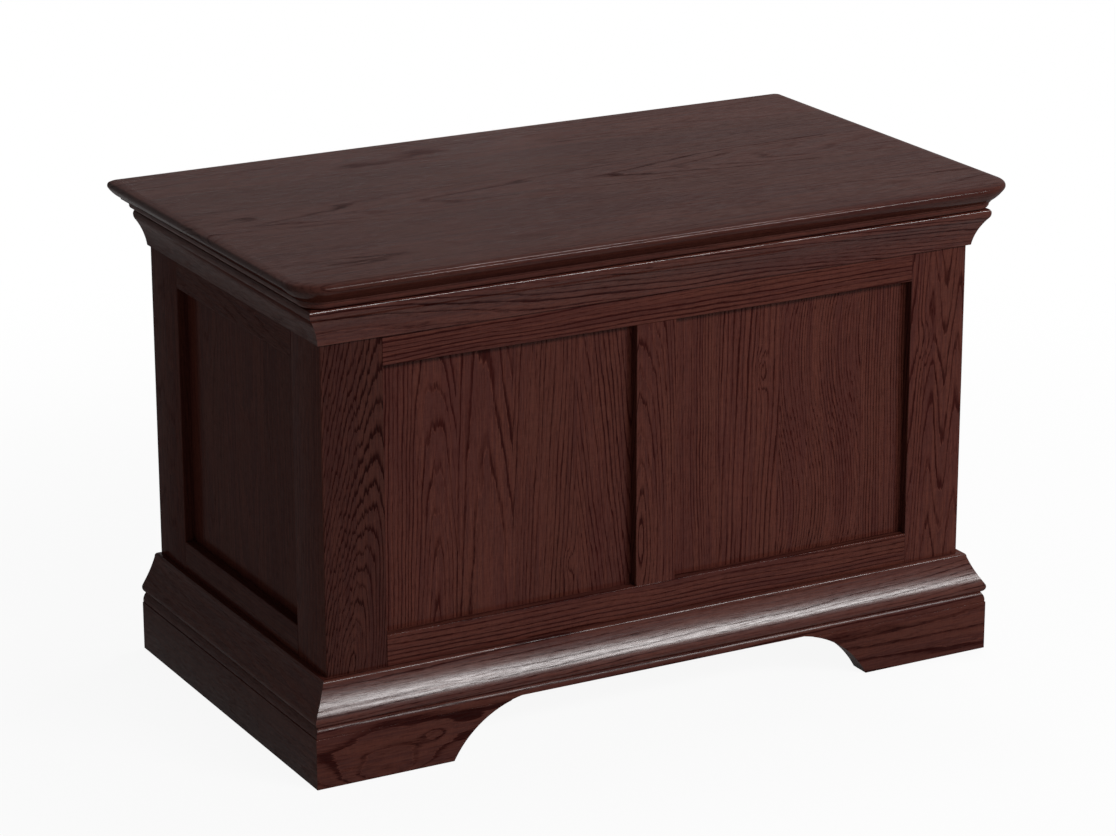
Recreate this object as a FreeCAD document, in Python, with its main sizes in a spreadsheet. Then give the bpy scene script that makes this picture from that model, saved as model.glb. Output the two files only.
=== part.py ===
import FreeCAD, Part
import os
import re
from collections import namedtuple

import Sketcher

# Blanket chest: four frame-and-panel walls on a plinth with bracket feet, mitred mouldings round the
# front and the sides, and a hinged lid with a moulded edge, held open by a slotted stay.
# Frame: X to the right, Y to the back, Z up; the origin is on the floor under the middle of the chest.

SIZES = {
    # The four framed walls
    "carcase_width": (815, "outside of the left wall to outside of the right wall"),
    "carcase_depth": (452, "front face to back face of the walls"),
    "carcase_height": (472, "height of the walls, without the plinth below them"),
    "carcase_base": (62, "height of the walls' lower edge above the floor"),
    "frame_thickness": (24, "thickness of stiles, rails and muntin"),
    "stile_width": (73, "width of every stile on the outside"),
    "muntin_width": (50, "width of the middle upright of the front"),
    "top_rail_width": (78, "height of the top rails, part of it behind the cornice"),
    "bottom_rail_width": (89.5, "height of the bottom rails, part of it behind the mouldings"),
    "panel_recess": (12, "how far the panels lie behind the frame's face"),
    "panel_thickness": (10, "thickness of the panels inside their tongues"),
    "groove_width": (6, "width of the groove for tongues and panels"),
    "groove_depth": (9, "depth of that groove"),
    "back_rebate": (12, "how deep the back wall is let into each side wall"),
    "joint_fit": (0.2, "play of a tongue in its groove"),
    "panel_play": (1, "room for a panel to swell in its groove"),
    "edge_ease": (0.8, "small chamfer that takes the sharpness off a frame's edges"),
    # The floor of the chest
    "floor_thickness": (12, "thickness of the floor boards"),
    "floor_play": (1, "gap round the floor boards"),
    "cleat_size": (20, "width and height of the cleats that carry the floor"),
    "cleat_rise": (8, "cleats' lower edge above the walls' lower edge"),
    # Cornice: cove below a bead with a rounded underside
    "cornice_height": (44, "height of the cornice"),
    "cornice_projection": (20, "how far its bead stands out from the walls"),
    "cornice_foot": (4, "how far its lower edge stands out"),
    "cornice_cove": (2, "hollow of the cove behind its chord"),
    "cornice_bead": (12.5, "height of the bead"),
    "cornice_step": (3, "how far the bead stands out from the cove"),
    "cornice_bead_rise": (7, "height of the bead's rounded underside"),
    "cornice_bead_bulge": (0.7, "how far that underside bows out from its chord"),
    "cornice_round": (3, "radius on the bead's upper edge"),
    # Base moulding: ogee over a nose
    "base_height": (46, "height of the base moulding"),
    "base_projection": (25.8, "depth of the nose's top above the plinth"),
    "base_foot": (22, "how far its lower edge stands out"),
    "base_nose": (9, "height of the rounded nose"),
    "base_nose_bulge": (1.8, "how far the nose bows out from its chord"),
    "base_slope_top": (17, "height where the slope turns into the hollow"),
    "base_slope_depth": (20.9, "how far it stands out there"),
    "base_hollow": (0.7, "depth of the hollow behind its chord"),
    "base_cap": (4, "height of the plain band at the top"),
    "base_cap_depth": (8.9, "how far that band stands out"),
    "base_round": (3.5, "radius on the band's upper edge"),
    # Plinth and feet
    "plinth_height": (70, "height of the plinth boards"),
    "plinth_thickness": (26, "thickness of the front and side plinth boards"),
    "plinth_round_height": (12, "height of the rounding along the plinth's top"),
    "plinth_round_depth": (4, "how far the rounding goes back at the top"),
    "plinth_lip": (1, "small step under the rounding"),
    "plinth_round_bulge": (1.6, "how far the rounding bows out from its chord"),
    "foot_length": (165.5, "length of a bracket foot on the floor"),
    "arch_run": (85, "length over which the foot curves up"),
    "arch_rise": (61, "height of the cut-out between the feet"),
    "arch_bulge": (12, "how far the foot's curve bows from its chord"),
    "plinth_back_thickness": (20, "thickness of the rear plinth board"),
    "foot_block": (42, "side of the square glue blocks that carry the corners"),
    # Lid
    "lid_overhang": (42.5, "lid beyond the walls at the front and sides"),
    "lid_back_overhang": (19, "lid beyond the back wall"),
    "lid_corner_radius": (42.5, "rounding of the lid's front corners in plan"),
    "lid_thickness": (23.5, "thickness of the lid board"),
    "lid_gap": (1, "gap between the closed lid and the walls"),
    "edge_top_run": (11.5, "width of the rounding on the lid's upper edge"),
    "edge_nose_set": (2.4, "how far the rounding's end lies inside the lid's outline"),
    "edge_top_drop": (1.5, "height of the rounding on the upper edge"),
    "edge_top_bulge": (0.28, "how far that rounding bows out from its chord"),
    "edge_nose_drop": (8.5, "lower end of the nose below the lid's top"),
    "edge_nose_back": (1, "how far the nose's lower end lies inside the outline"),
    "edge_nose_bulge": (1.63, "how far the nose bows out from its chord"),
    "edge_under_run": (16, "inner end of the undercut from the outline"),
    "edge_lip": (1.2, "height of the thin lip at the bottom of the edge"),
    "edge_under_bulge": (1.1, "how far the undercut bows out from its chord"),
    "rim_thickness": (7.5, "thickness of the rim under the lid board"),
    "rim_overhang": (24.5, "rim beyond the walls at the front and sides"),
    "rim_width": (56, "width of the rim boards"),
    "rim_round": (5, "rounding on the rim's lower outer edge"),
    "batten_width": (45, "width of the battens under the lid"),
    "batten_thickness": (18, "thickness of the battens"),
    "batten_inset": (177.5, "battens' middle from the outside of the side walls"),
    "batten_play": (2, "gap between the battens and the rim"),
    "buffer_size": (10, "side of the square pads that the closed lid lands on"),
    "buffer_play": (0.1, "gap between the buffers and the rim"),
    # Butt hinges
    "hinge_length": (65, "length of a hinge along its pin"),
    "hinge_inset": (137.5, "hinges' middle from the outside of the side walls"),
    "hinge_setback": (4.5, "pin's axis behind the back wall"),
    "leaf_width": (20, "width of a leaf on the wood"),
    "leaf_thickness": (1.6, "thickness of a leaf, and depth of its recess"),
    "knuckle_radius": (3.75, "outer radius of the knuckles"),
    "knuckle_play": (0.3, "gap between neighbouring knuckles and round them"),
    "pin_radius": (1.9, "radius of the hinge pin"),
    "pin_play": (0.05, "running clearance round the pin"),
    "leaf_screw_inset": (13, "leaf screws from the hinge's end"),
    # Screws
    "screw_radius": (1.6, "radius of a screw's core under its head"),
    "screw_head_radius": (3.1, "radius of a countersunk head"),
    "screw_length": (14, "length of a screw"),
    # Slotted lid stay
    "lid_open_angle": (95, "angle of the open lid, in degrees"),
    "stay_reach": (130, "stay's pivot and stud, each from the hinge axis"),
    "stay_drop": (11, "stay's pivot below the hinge axis with the lid shut"),
    "stay_spread_angle": (24, "angle from pivot to stud, seen from the hinge axis"),
    "stay_offset": (13.4, "middle of the stay's arm from the inside of the wall"),
    "stay_thickness": (2, "thickness of arm, bracket and plate"),
    "stay_width": (14, "width of the arm"),
    "stay_play": (0.3, "gap beside the arm and round the stud in its slot"),
    "stud_radius": (2.4, "radius of the stud's neck"),
    "stud_head_radius": (5, "radius of the stud's head and boss"),
    "stay_rivet_radius": (2, "radius of the rivet at the arm's pivot"),
    "stay_rivet_head": (4, "radius of the rivet's heads"),
    "stay_slot_room": (1, "slot beyond the stud with the lid shut"),
    "stay_tail": (8, "arm beyond the slot's far end"),
    "bracket_length": (30, "length of the bracket's foot on the lid"),
    "bracket_foot": (16, "width of the bracket's foot"),
    "plate_width": (16, "width of the stud's plate"),
    "plate_below": (12, "stud's plate below the stud"),
    "plate_above": (32, "stud's plate above the stud"),
    "plate_screw_gap": (12, "distance from stud to screw and from screw to screw"),
}

# Where things are, written with the names above
HALF_WIDTH = "(carcase_width / 2)"
FRONT = "((lid_overhang - carcase_depth - lid_back_overhang) / 2)"
BACK = f"({FRONT} + carcase_depth)"
MIDDLE = f"({FRONT} + carcase_depth / 2)"
TOP = "(carcase_base + carcase_height)"
OPENING_TOP = "(carcase_height - top_rail_width)"
GROOVE_BACK = "(panel_recess + groove_width)"
TONGUE = "(groove_depth - joint_fit)"
HINGE_PLACES = (f"-({HALF_WIDTH} - hinge_inset)", f"({HALF_WIDTH} - hinge_inset)")
RIM_BOTTOM = f"({TOP} + lid_gap)"
LID_BOTTOM = f"({RIM_BOTTOM} + rim_thickness)"
HINGE_Y = f"({BACK} + hinge_setback)"
HINGE_Z = f"({TOP} + lid_gap / 2)"
PIVOT_DEPRESSION = "asin(stay_drop / stay_reach)"
STUD_DEPRESSION = f"({PIVOT_DEPRESSION} + stay_spread_angle * 1 deg)"
STAY_TILT = f"{PIVOT_DEPRESSION} + stay_spread_angle * 1 deg / 2"
ARM_X = f"({HALF_WIDTH} - frame_thickness - stay_offset)"
PIVOT_AT = (ARM_X, f"{HINGE_Y} - stay_reach * cos({PIVOT_DEPRESSION})", f"{HINGE_Z} - stay_drop")
STUD_AT = (ARM_X, f"{HINGE_Y} - stay_reach * cos({STUD_DEPRESSION})",
           f"{HINGE_Z} - stay_reach * sin({STUD_DEPRESSION})")
SLOT_NEAR = "(2 * stay_reach * sin(stay_spread_angle * 1 deg / 2))"
SLOT_FAR = "(2 * stay_reach * sin((stay_spread_angle + lid_open_angle) * 1 deg / 2))"
BRACKET_SCREW_X = "-(stay_thickness / 2 + stay_play + (stay_thickness + bracket_foot) / 2)"
WASTE = "5"  # how far a cutter reaches outside the wood
SLIVER = 1e-6  # a height below this counts as none

document = FreeCAD.newDocument("BlanketChest")
sheet = document.addObject("Spreadsheet::Sheet", "Sizes")
for row, (size_name, (size, note)) in enumerate(SIZES.items(), start=1):
    sheet.set(f"A{row}", size_name)
    sheet.set(f"B{row}", str(size))
    sheet.setAlias(f"B{row}", size_name)
    sheet.set(f"C{row}", note)
document.recompute()

parts = []


# Formulas, sketches and features

def formula(text):
    """Point every size name in a formula at its cell in the sheet."""
    return re.sub(r"[a-z]\w*", lambda word: f"Sizes.{word[0]}" if word[0] in SIZES else word[0], text)


def number(text):
    """Work out a formula's value, in millimetres or degrees."""
    return float(sheet.evalExpression(formula(text)))


def place(part, at, axis=(0, 0, 1), turn="0"):
    """Turn a part about an axis and tie its place to the sheet."""
    rotation = FreeCAD.Rotation(FreeCAD.Vector(*axis), number(turn))
    part.Placement = FreeCAD.Placement(FreeCAD.Vector(*map(number, at)), rotation)
    for direction, text in zip("xyz", at):
        part.setExpression(f"Placement.Base.{direction}", formula(text))


def new_body(label, at, axis=(0, 0, 1), turn="0"):
    """Start a sub-part as a body with its own label and placement."""
    body = document.addObject("PartDesign::Body", label)
    body.Label = label
    place(body, at, axis, turn)
    parts.append(body)
    return body


def origin_feature(body, role):
    """Find one of a body's own origin planes or axes."""
    return next(item for item in body.Origin.OriginFeatures if item.Role == role)


def new_sketch(body, name, plane, lift="0"):
    """Start a sketch on an origin plane of its body, lifted along the plane's normal."""
    sketch = body.newObject("Sketcher::SketchObject", name)
    sketch.AttachmentSupport = [(origin_feature(body, plane), "")]
    sketch.MapMode = "FlatFace"
    sketch.setExpression("AttachmentOffset.Base.z", formula(lift))
    return sketch


def pin_coordinate(sketch, edge, end, kind, text):
    """Tie one coordinate of a point of an edge to a formula."""
    if text == "0":
        axis = {"DistanceX": -2, "DistanceY": -1}[kind]
        sketch.addConstraint(Sketcher.Constraint("PointOnObject", edge, end, axis))
    else:
        index = sketch.addConstraint(Sketcher.Constraint(kind, edge, end, number(text)))
        sketch.setExpression(f"Constraints[{index}]", formula(text))


def pin_point(sketch, edge, end, x, y):
    """Tie a point of an edge to its formulas across and up the sketch."""
    pin_coordinate(sketch, edge, end, "DistanceX", x)
    pin_coordinate(sketch, edge, end, "DistanceY", y)


def draw_outline(sketch, corners, closed=True, flip=False):
    """Draw an outline of lines and arcs.

    A corner is (x, y) or (x, y, bulge), where bulge says how far the edge to the next corner bows to
    the left of its chord. flip mirrors the outline left to right.
    """
    points = []
    for corner in corners:
        x, y, bulge = corner if len(corner) == 3 else (*corner, "0")
        if flip:
            x, bulge = (text if text == "0" else f"-({text})" for text in (x, bulge))
        points.append((x, y, bulge))
    first_edge = sketch.GeometryCount
    ends = []
    for index in range(len(points) if closed else len(points) - 1):
        (x0, y0, bulge), (x1, y1, _) = points[index], points[(index + 1) % len(points)]
        start = FreeCAD.Vector(number(x0), number(y0), 0)
        stop = FreeCAD.Vector(number(x1), number(y1), 0)
        if bulge == "0":
            sketch.addGeometry(Part.LineSegment(start, stop))
            ends.append((1, 2))
            continue
        chord = stop - start
        aside = FreeCAD.Vector(-chord.y, chord.x, 0).normalize() * number(bulge)
        edge = sketch.addGeometry(Part.Arc(start, (start + stop) / 2 + aside, stop))
        forwards = (sketch.getPoint(edge, 1) - start).Length < (sketch.getPoint(edge, 2) - start).Length
        ends.append((1, 2) if forwards else (2, 1))
        across, up = f"(({x1}) - ({x0}))", f"(({y1}) - ({y0}))"
        length = f"sqrt({across}^2 + {up}^2)"
        offset = f"(({bulge}) / 2 - {length}^2 / (8 * ({bulge}))) / {length}"
        if abs(chord.x) > abs(chord.y):
            pin_coordinate(sketch, edge, 3, "DistanceY", f"(({y0}) + ({y1})) / 2 + {across} * {offset}")
        else:
            pin_coordinate(sketch, edge, 3, "DistanceX", f"(({x0}) + ({x1})) / 2 - {up} * {offset}")
    for index, (start_end, stop_end) in enumerate(ends):
        x, y, _ = points[index]
        pin_point(sketch, first_edge + index, start_end, x, y)
        following = (index + 1) % len(ends)
        if closed or following:
            link = (first_edge + index, stop_end, first_edge + following, ends[following][0])
            sketch.addConstraint(Sketcher.Constraint("Coincident", *link))
    if not closed:
        x, y, _ = points[-1]
        pin_point(sketch, first_edge + len(ends) - 1, ends[-1][1], x, y)


def draw_circle(sketch, x, y, radius):
    """Draw a circle tied to its formulas."""
    centre = FreeCAD.Vector(number(x), number(y), 0)
    edge = sketch.addGeometry(Part.Circle(centre, FreeCAD.Vector(0, 0, 1), number(radius)))
    index = sketch.addConstraint(Sketcher.Constraint("Radius", edge, number(radius)))
    sketch.setExpression(f"Constraints[{index}]", formula(radius))
    pin_point(sketch, edge, 3, x, y)


def box(left, right, bottom, top):
    """Corners of an upright rectangle."""
    return [(left, bottom), (right, bottom), (right, top), (left, top)]


def add_feature(body, kind, sketch, name, length, both_ways=False, reverse=False):
    """Add a Pad or Pocket of a sketch; with no length a Pocket goes right through."""
    feature = body.newObject(f"PartDesign::{kind}", name)
    feature.Profile = sketch
    feature.SideType = "Symmetric" if both_ways else "One side"
    feature.Reversed = reverse
    if length is None:
        feature.Type = "ThroughAll"
    else:
        feature.setExpression("Length", formula(length))
    return feature


def pad(body, sketch, length, both_ways=False, reverse=False):
    """Raise a sketch into wood or metal."""
    return add_feature(body, "Pad", sketch, f"{sketch.Name}_pad", length, both_ways, reverse)


def cut(body, sketch, depth=None, both_ways=False, reverse=False):
    """Cut a sketch out of the body, and make sure that something was cut."""
    document.recompute()
    volume = body.Shape.Volume
    feature = add_feature(body, "Pocket", sketch, f"{sketch.Name}_cut", depth, both_ways, reverse)
    document.recompute()
    if body.Shape.Volume >= volume:
        raise RuntimeError(f"{body.Label}: {sketch.Name} cuts nothing")
    return feature


# Framed walls. Each wall is drawn as seen from outside: X runs from its left end to its right end
# about the middle, Y goes inwards from its outer face, and Z goes up from the walls' lower edge.

Wall = namedtuple("Wall", "name width x y turn ends joints")
BACK_WALL_WIDTH = "(carcase_width - 2 * (frame_thickness - back_rebate))"
FRONT_WALL = Wall("front", "carcase_width", "0", FRONT, "0", ("left", "right"), ("mitre", "mitre"))
LEFT_WALL = Wall(
    "left", "carcase_depth", f"-{HALF_WIDTH}", MIDDLE, "-90", ("back", "front"), ("rebate", "mitre"))
RIGHT_WALL = Wall(
    "right", "carcase_depth", HALF_WIDTH, MIDDLE, "90", ("front", "back"), ("mitre", "rebate"))
BACK_WALL = Wall("back", BACK_WALL_WIDTH, "0", BACK, "180", ("right", "left"), ("square", "square"))


def wall_body(wall, label, height="carcase_base"):
    """Start a body in a wall's own frame, at a height above the floor."""
    return new_body(label, (wall.x, wall.y, height), turn=wall.turn)


def stile_corners(wall, joint):
    """Section of the stile at a wall's left end, groove towards the panel."""
    outer = f"-({wall.width}) / 2"
    inner = f"({outer} + stile_width)"
    floor = f"({inner} - groove_depth)"
    section = [
        (f"{inner} - edge_ease", "0"),
        (inner, "edge_ease"),
        (inner, "panel_recess"),
        (floor, "panel_recess"),
        (floor, GROOVE_BACK),
        (inner, GROOVE_BACK),
        (inner, "frame_thickness"),
    ]
    ends = {
        "mitre": [
            (f"{outer} + frame_thickness", "frame_thickness"),
            (f"{outer} + edge_ease / 2", "edge_ease / 2"),
            (f"{outer} + edge_ease", "0"),
        ],
        "rebate": [
            (f"{outer} + frame_thickness", "frame_thickness"),
            (f"{outer} + frame_thickness", "frame_thickness - back_rebate"),
            (outer, "frame_thickness - back_rebate"),
            (outer, "0"),
        ],
        "square": [(outer, "frame_thickness"), (outer, "0")],
    }
    return section + ends[joint]


def make_stile(wall, index):
    """Stile at one end of a wall, full height, with the groove along its inner edge."""
    body = wall_body(wall, f"{wall.name}_{wall.ends[index]}_stile")
    sketch = new_sketch(body, "section", "XY_Plane")
    draw_outline(sketch, stile_corners(wall, wall.joints[index]), flip=index == 1)
    pad(body, sketch, "carcase_height")


def make_rail(wall, name, outer, inner, groove_floor, ease):
    """Rail between the stiles, with a groove along one edge and a tongue on each end."""
    body = wall_body(wall, f"{wall.name}_{name}")
    shoulder = f"({wall.width} - 2 * stile_width)"
    section = new_sketch(body, "section", "YZ_Plane")
    draw_outline(section, [
        ("0", outer),
        ("frame_thickness", outer),
        ("frame_thickness", inner),
        (GROOVE_BACK, inner),
        (GROOVE_BACK, groove_floor),
        ("panel_recess", groove_floor),
        ("panel_recess", inner),
        ("edge_ease", inner),
        ("0", ease),
    ])
    pad(body, section, shoulder, both_ways=True)
    tongue = new_sketch(body, "tongue", "YZ_Plane")
    draw_outline(tongue, box("panel_recess + joint_fit", f"{GROOVE_BACK} - joint_fit", outer, groove_floor))
    pad(body, tongue, f"{shoulder} + 2 * {TONGUE}", both_ways=True)
    return body


def make_panel(wall, name, left, right):
    """Flat panel with a tongue all round, its face set back in the frame."""
    body = wall_body(wall, f"{wall.name}_{name}")
    reach = "(groove_depth - panel_play)"
    face = "-(panel_recess + joint_fit)"
    tongue = new_sketch(body, "tongue", "XZ_Plane", face)
    draw_outline(tongue, box(
        f"{left} - {reach}", f"{right} + {reach}",
        f"bottom_rail_width - {reach}", f"{OPENING_TOP} + {reach}"))
    pad(body, tongue, "groove_width - 2 * joint_fit", reverse=True)
    field = new_sketch(body, "field", "XZ_Plane", face)
    draw_outline(field, box(
        f"{left} + panel_play", f"{right} - panel_play",
        "bottom_rail_width + panel_play", f"{OPENING_TOP} - panel_play"))
    pad(body, field, "panel_thickness", reverse=True)


def make_muntin(wall):
    """Upright between two panels, grooved on both edges and tongued into the rails."""
    body = wall_body(wall, f"{wall.name}_muntin")
    half = "(muntin_width / 2)"
    floor = f"({half} - groove_depth)"
    right_edge = [
        (f"{half} - edge_ease", "0"), (half, "edge_ease"), (half, "panel_recess"), (floor, "panel_recess"),
        (floor, GROOVE_BACK), (half, GROOVE_BACK), (half, "frame_thickness"),
    ]
    left_edge = [(f"-({x})", y) for x, y in reversed(right_edge)]
    section = new_sketch(body, "section", "XY_Plane", "bottom_rail_width")
    draw_outline(section, right_edge + left_edge)
    height = f"({OPENING_TOP} - bottom_rail_width)"
    pad(body, section, height)
    tongue = new_sketch(body, "tongue", "XY_Plane", f"bottom_rail_width - {TONGUE}")
    draw_outline(tongue, box(f"-{floor}", floor, "panel_recess + joint_fit", f"{GROOVE_BACK} - joint_fit"))
    pad(body, tongue, f"{height} + 2 * {TONGUE}")


def make_wall(wall, muntin=False):
    """Two stiles, two rails and the panels between them; gives back the top rail."""
    for index in range(len(wall.ends)):
        make_stile(wall, index)
    make_rail(wall, "bottom_rail", "0", "bottom_rail_width", "bottom_rail_width - groove_depth",
              "bottom_rail_width - edge_ease")
    top_rail = make_rail(wall, "top_rail", "carcase_height", OPENING_TOP, f"{OPENING_TOP} + groove_depth",
                         f"{OPENING_TOP} + edge_ease")
    edge = f"({wall.width} / 2 - stile_width)"
    if muntin:
        make_muntin(wall)
        make_panel(wall, "left_panel", f"-{edge}", "-muntin_width / 2")
        make_panel(wall, "right_panel", "muntin_width / 2", edge)
    else:
        make_panel(wall, "panel", f"-{edge}", edge)
    return top_rail


# Mouldings and plinth boards: straight runs on the front and side walls, mitred at the front corners

def run_plan(wall, depth):
    """Plan of a run along a wall: mitred where two walls meet in a mitre, square at the back."""
    plan = []
    for sign, joint in (("-", wall.joints[0]), ("", wall.joints[1])):
        wall_end = f"{sign}({wall.width}) / 2"
        outer_end = f"{wall_end} {sign or '+'} {depth}" if joint == "mitre" else wall_end
        corners = [(wall_end, "0"), (outer_end, f"-{depth}")]
        plan += corners if sign else reversed(corners)
    return plan


def make_run(wall, label, bottom, height, depth, waste):
    """Board along a wall, with the waste outside its moulded face cut away."""
    body = wall_body(wall, label, bottom)
    stock = new_sketch(body, "stock", "XY_Plane")
    draw_outline(stock, run_plan(wall, depth))
    pad(body, stock, height)
    cutter = new_sketch(body, "cutter", "YZ_Plane")
    draw_outline(cutter, waste)
    cut(body, cutter, both_ways=True)
    return body


def cornice_waste():
    """What the cutters take off the cornice: the cove, then the bead's underside and upper edge."""
    cove_top = "cornice_height - cornice_bead"
    face = "-cornice_projection"
    outside = f"{face} - {WASTE}"
    return [
        (outside, f"-{WASTE}"),
        ("-cornice_foot", f"-{WASTE}"),
        ("-cornice_foot", "0", "-cornice_cove"),
        (f"{face} + cornice_step", cove_top, "cornice_bead_bulge"),
        (face, f"{cove_top} + cornice_bead_rise"),
        (face, "cornice_height - cornice_round", "cornice_round * (1 - sqrt(0.5))"),
        (f"{face} + cornice_round", "cornice_height"),
        (f"{face} + cornice_round", f"cornice_height + {WASTE}"),
        (outside, f"cornice_height + {WASTE}"),
    ]


def base_waste():
    """What the cutters take off the base moulding: outside of nose, slope, hollow and cap."""
    cap_bottom = "base_height - base_cap"
    outside = f"-base_projection - base_nose_bulge - {WASTE}"
    return [
        (outside, f"-{WASTE}"),
        ("-base_foot", f"-{WASTE}"),
        ("-base_foot", "0", "base_nose_bulge"),
        ("-base_projection", "base_nose"),
        ("-base_slope_depth", "base_slope_top", "-base_hollow"),
        ("-base_cap_depth", cap_bottom),
        ("-base_cap_depth", "base_height - base_round", "base_round * (1 - sqrt(0.5))"),
        ("-base_cap_depth + base_round", "base_height"),
        ("-base_cap_depth + base_round", f"base_height + {WASTE}"),
        (outside, f"base_height + {WASTE}"),
    ]


def plinth_waste():
    """What the cutter takes off a plinth board's top: a rounding over a small step."""
    outside = f"-plinth_thickness - {WASTE}"
    round_bottom = "plinth_height - plinth_round_height"
    return [
        (outside, round_bottom),
        ("-plinth_thickness + plinth_lip", round_bottom, "plinth_round_bulge"),
        ("-plinth_thickness + plinth_lip + plinth_round_depth", "plinth_height"),
        ("-plinth_thickness + plinth_lip + plinth_round_depth", f"plinth_height + {WASTE}"),
        (outside, f"plinth_height + {WASTE}"),
    ]


def cut_arch(body):
    """Cut the opening between the bracket feet out of the front plinth board."""
    foot = f"({HALF_WIDTH} + plinth_thickness - foot_length)"
    crown = f"({foot} - arch_run)"
    sketch = new_sketch(body, "arch", "XZ_Plane")
    draw_outline(sketch, [
        (f"-{foot}", f"-{WASTE}"),
        (f"-{foot}", "0", "arch_bulge"),
        (f"-{crown}", "arch_rise"),
        (crown, "arch_rise", "arch_bulge"),
        (foot, "0"),
        (foot, f"-{WASTE}"),
    ])
    cut(body, sketch, both_ways=True)


def make_block(label, left, right, front, back, bottom, top):
    """Plain squared piece of wood."""
    body = new_body(label, ("0", "0", bottom))
    sketch = new_sketch(body, "plan", "XY_Plane")
    draw_outline(sketch, box(left, right, front, back))
    pad(body, sketch, f"{top} - ({bottom})")
    return body


def make_plinth_back_and_blocks():
    """Rear plinth board between the side boards, and the glue blocks that carry the corners."""
    back_inner = f"{BACK} - plinth_back_thickness"
    make_block("plinth_back", f"-{HALF_WIDTH}", HALF_WIDTH, back_inner, BACK, "0", "carcase_base")
    for side, sign in (("left", "-"), ("right", "")):
        outer = f"{sign}{HALF_WIDTH}"
        inner = f"{sign}({HALF_WIDTH} - foot_block)"
        across = (outer, inner) if sign else (inner, outer)
        make_block(f"foot_block_front_{side}", *across, FRONT, f"{FRONT} + foot_block", "0", "carcase_base")
        make_block(f"foot_block_back_{side}", *across, f"{back_inner} - foot_block", back_inner,
                   "0", "carcase_base")


def make_floor():
    """Floor boards on a cleat along the front and one along the back."""
    inside = f"({HALF_WIDTH} - frame_thickness)"
    front = f"({FRONT} + frame_thickness)"
    back = f"({BACK} - frame_thickness)"
    cleat_bottom = "carcase_base + cleat_rise"
    cleat_top = f"{cleat_bottom} + cleat_size"
    make_block("floor_cleat_front", f"-{inside}", inside, front, f"{front} + cleat_size",
               cleat_bottom, cleat_top)
    make_block("floor_cleat_back", f"-{inside}", inside, f"{back} - cleat_size", back,
               cleat_bottom, cleat_top)
    make_block("floor_panel", f"-{inside} + floor_play", f"{inside} - floor_play", f"{front} + floor_play",
               f"{back} - floor_play", cleat_top, f"{cleat_top} + floor_thickness")


# Lid

def make_lid_top():
    """Lid board with rounded front corners and a moulded edge round the front and the sides."""
    body = new_body("lid_top", ("0", FRONT, LID_BOTTOM))
    side = f"({HALF_WIDTH} + lid_overhang)"
    front = "-lid_overhang"
    back = "(carcase_depth + lid_back_overhang)"
    beyond = f"{back} + {WASTE}"
    corner_bulge = "lid_corner_radius * (1 - sqrt(0.5))"
    plan = new_sketch(body, "plan", "XY_Plane")
    draw_outline(plan, [
        (f"-{side} + lid_corner_radius", front),
        (f"{side} - lid_corner_radius", front, f"-{corner_bulge}"),
        (side, f"{front} + lid_corner_radius"),
        (side, back),
        (f"-{side}", back),
        (f"-{side}", f"{front} + lid_corner_radius", f"-{corner_bulge}"),
    ])
    pad(body, plan, "lid_thickness")
    path = new_sketch(body, "path", "XY_Plane")
    draw_outline(path, [
        (f"-{side}", beyond),
        (f"-{side}", f"{front} + lid_corner_radius", f"-{corner_bulge}"),
        (f"-{side} + lid_corner_radius", front),
        (f"{side} - lid_corner_radius", front, f"-{corner_bulge}"),
        (side, f"{front} + lid_corner_radius"),
        (side, beyond),
    ], closed=False)
    cutter = new_sketch(body, "cutter", "XZ_Plane", f"-({beyond})")
    draw_outline(cutter, [
        (f"-{side} + edge_top_run", f"lid_thickness + {WASTE}"),
        (f"-{side} + edge_top_run", "lid_thickness", "-edge_top_bulge"),
        (f"-{side} + edge_nose_set", "lid_thickness - edge_top_drop", "-edge_nose_bulge"),
        (f"-{side} + edge_nose_back", "lid_thickness - edge_nose_drop", "-edge_under_bulge"),
        (f"-{side} + edge_under_run", "edge_lip"),
        (f"-{side} + edge_under_run", f"-{WASTE}"),
        (f"-{side} - {WASTE}", f"-{WASTE}"),
        (f"-{side} - {WASTE}", f"lid_thickness + {WASTE}"),
    ])
    document.recompute()
    volume = body.Shape.Volume
    moulding = body.newObject("PartDesign::SubtractivePipe", "moulded_edge")
    moulding.Profile = cutter
    moulding.Spine = (path, [f"Edge{index + 1}" for index in range(path.GeometryCount)])
    document.recompute()
    if body.Shape.Volume >= volume:
        raise RuntimeError("the lid's moulded edge cuts nothing")


def rim_plan(wall):
    """Plan of a rim board: mitred through the rounded corner, square at the back."""
    set_in = "(lid_overhang - lid_corner_radius)"
    radius = "(lid_corner_radius - lid_overhang + rim_overhang)"
    inner = "(rim_width - rim_overhang)"
    bulge = f"{radius} * (1 - cos(22.5 deg))"
    plan = []
    for sign, joint in (("-", wall.joints[0]), ("", wall.joints[1])):
        wall_end = f"{sign}({wall.width}) / 2"
        out = sign or "+"
        if joint == "mitre":
            corners = [
                (f"{wall_end} {'+' if sign else '-'} {inner}", inner),
                (f"{wall_end} {out} ({set_in} + {radius} * sqrt(0.5))", f"-{set_in} - {radius} * sqrt(0.5)"),
                (f"{wall_end} {out} {set_in}", "-rim_overhang"),
            ]
        else:
            corners = [(wall_end, inner), (wall_end, "-rim_overhang")]
        if not sign:
            corners.reverse()
        if joint == "mitre":
            arc_start = 1 if sign else 0
            corners[arc_start] = (*corners[arc_start], f"-{bulge}")
        plan += corners
    return plan


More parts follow.
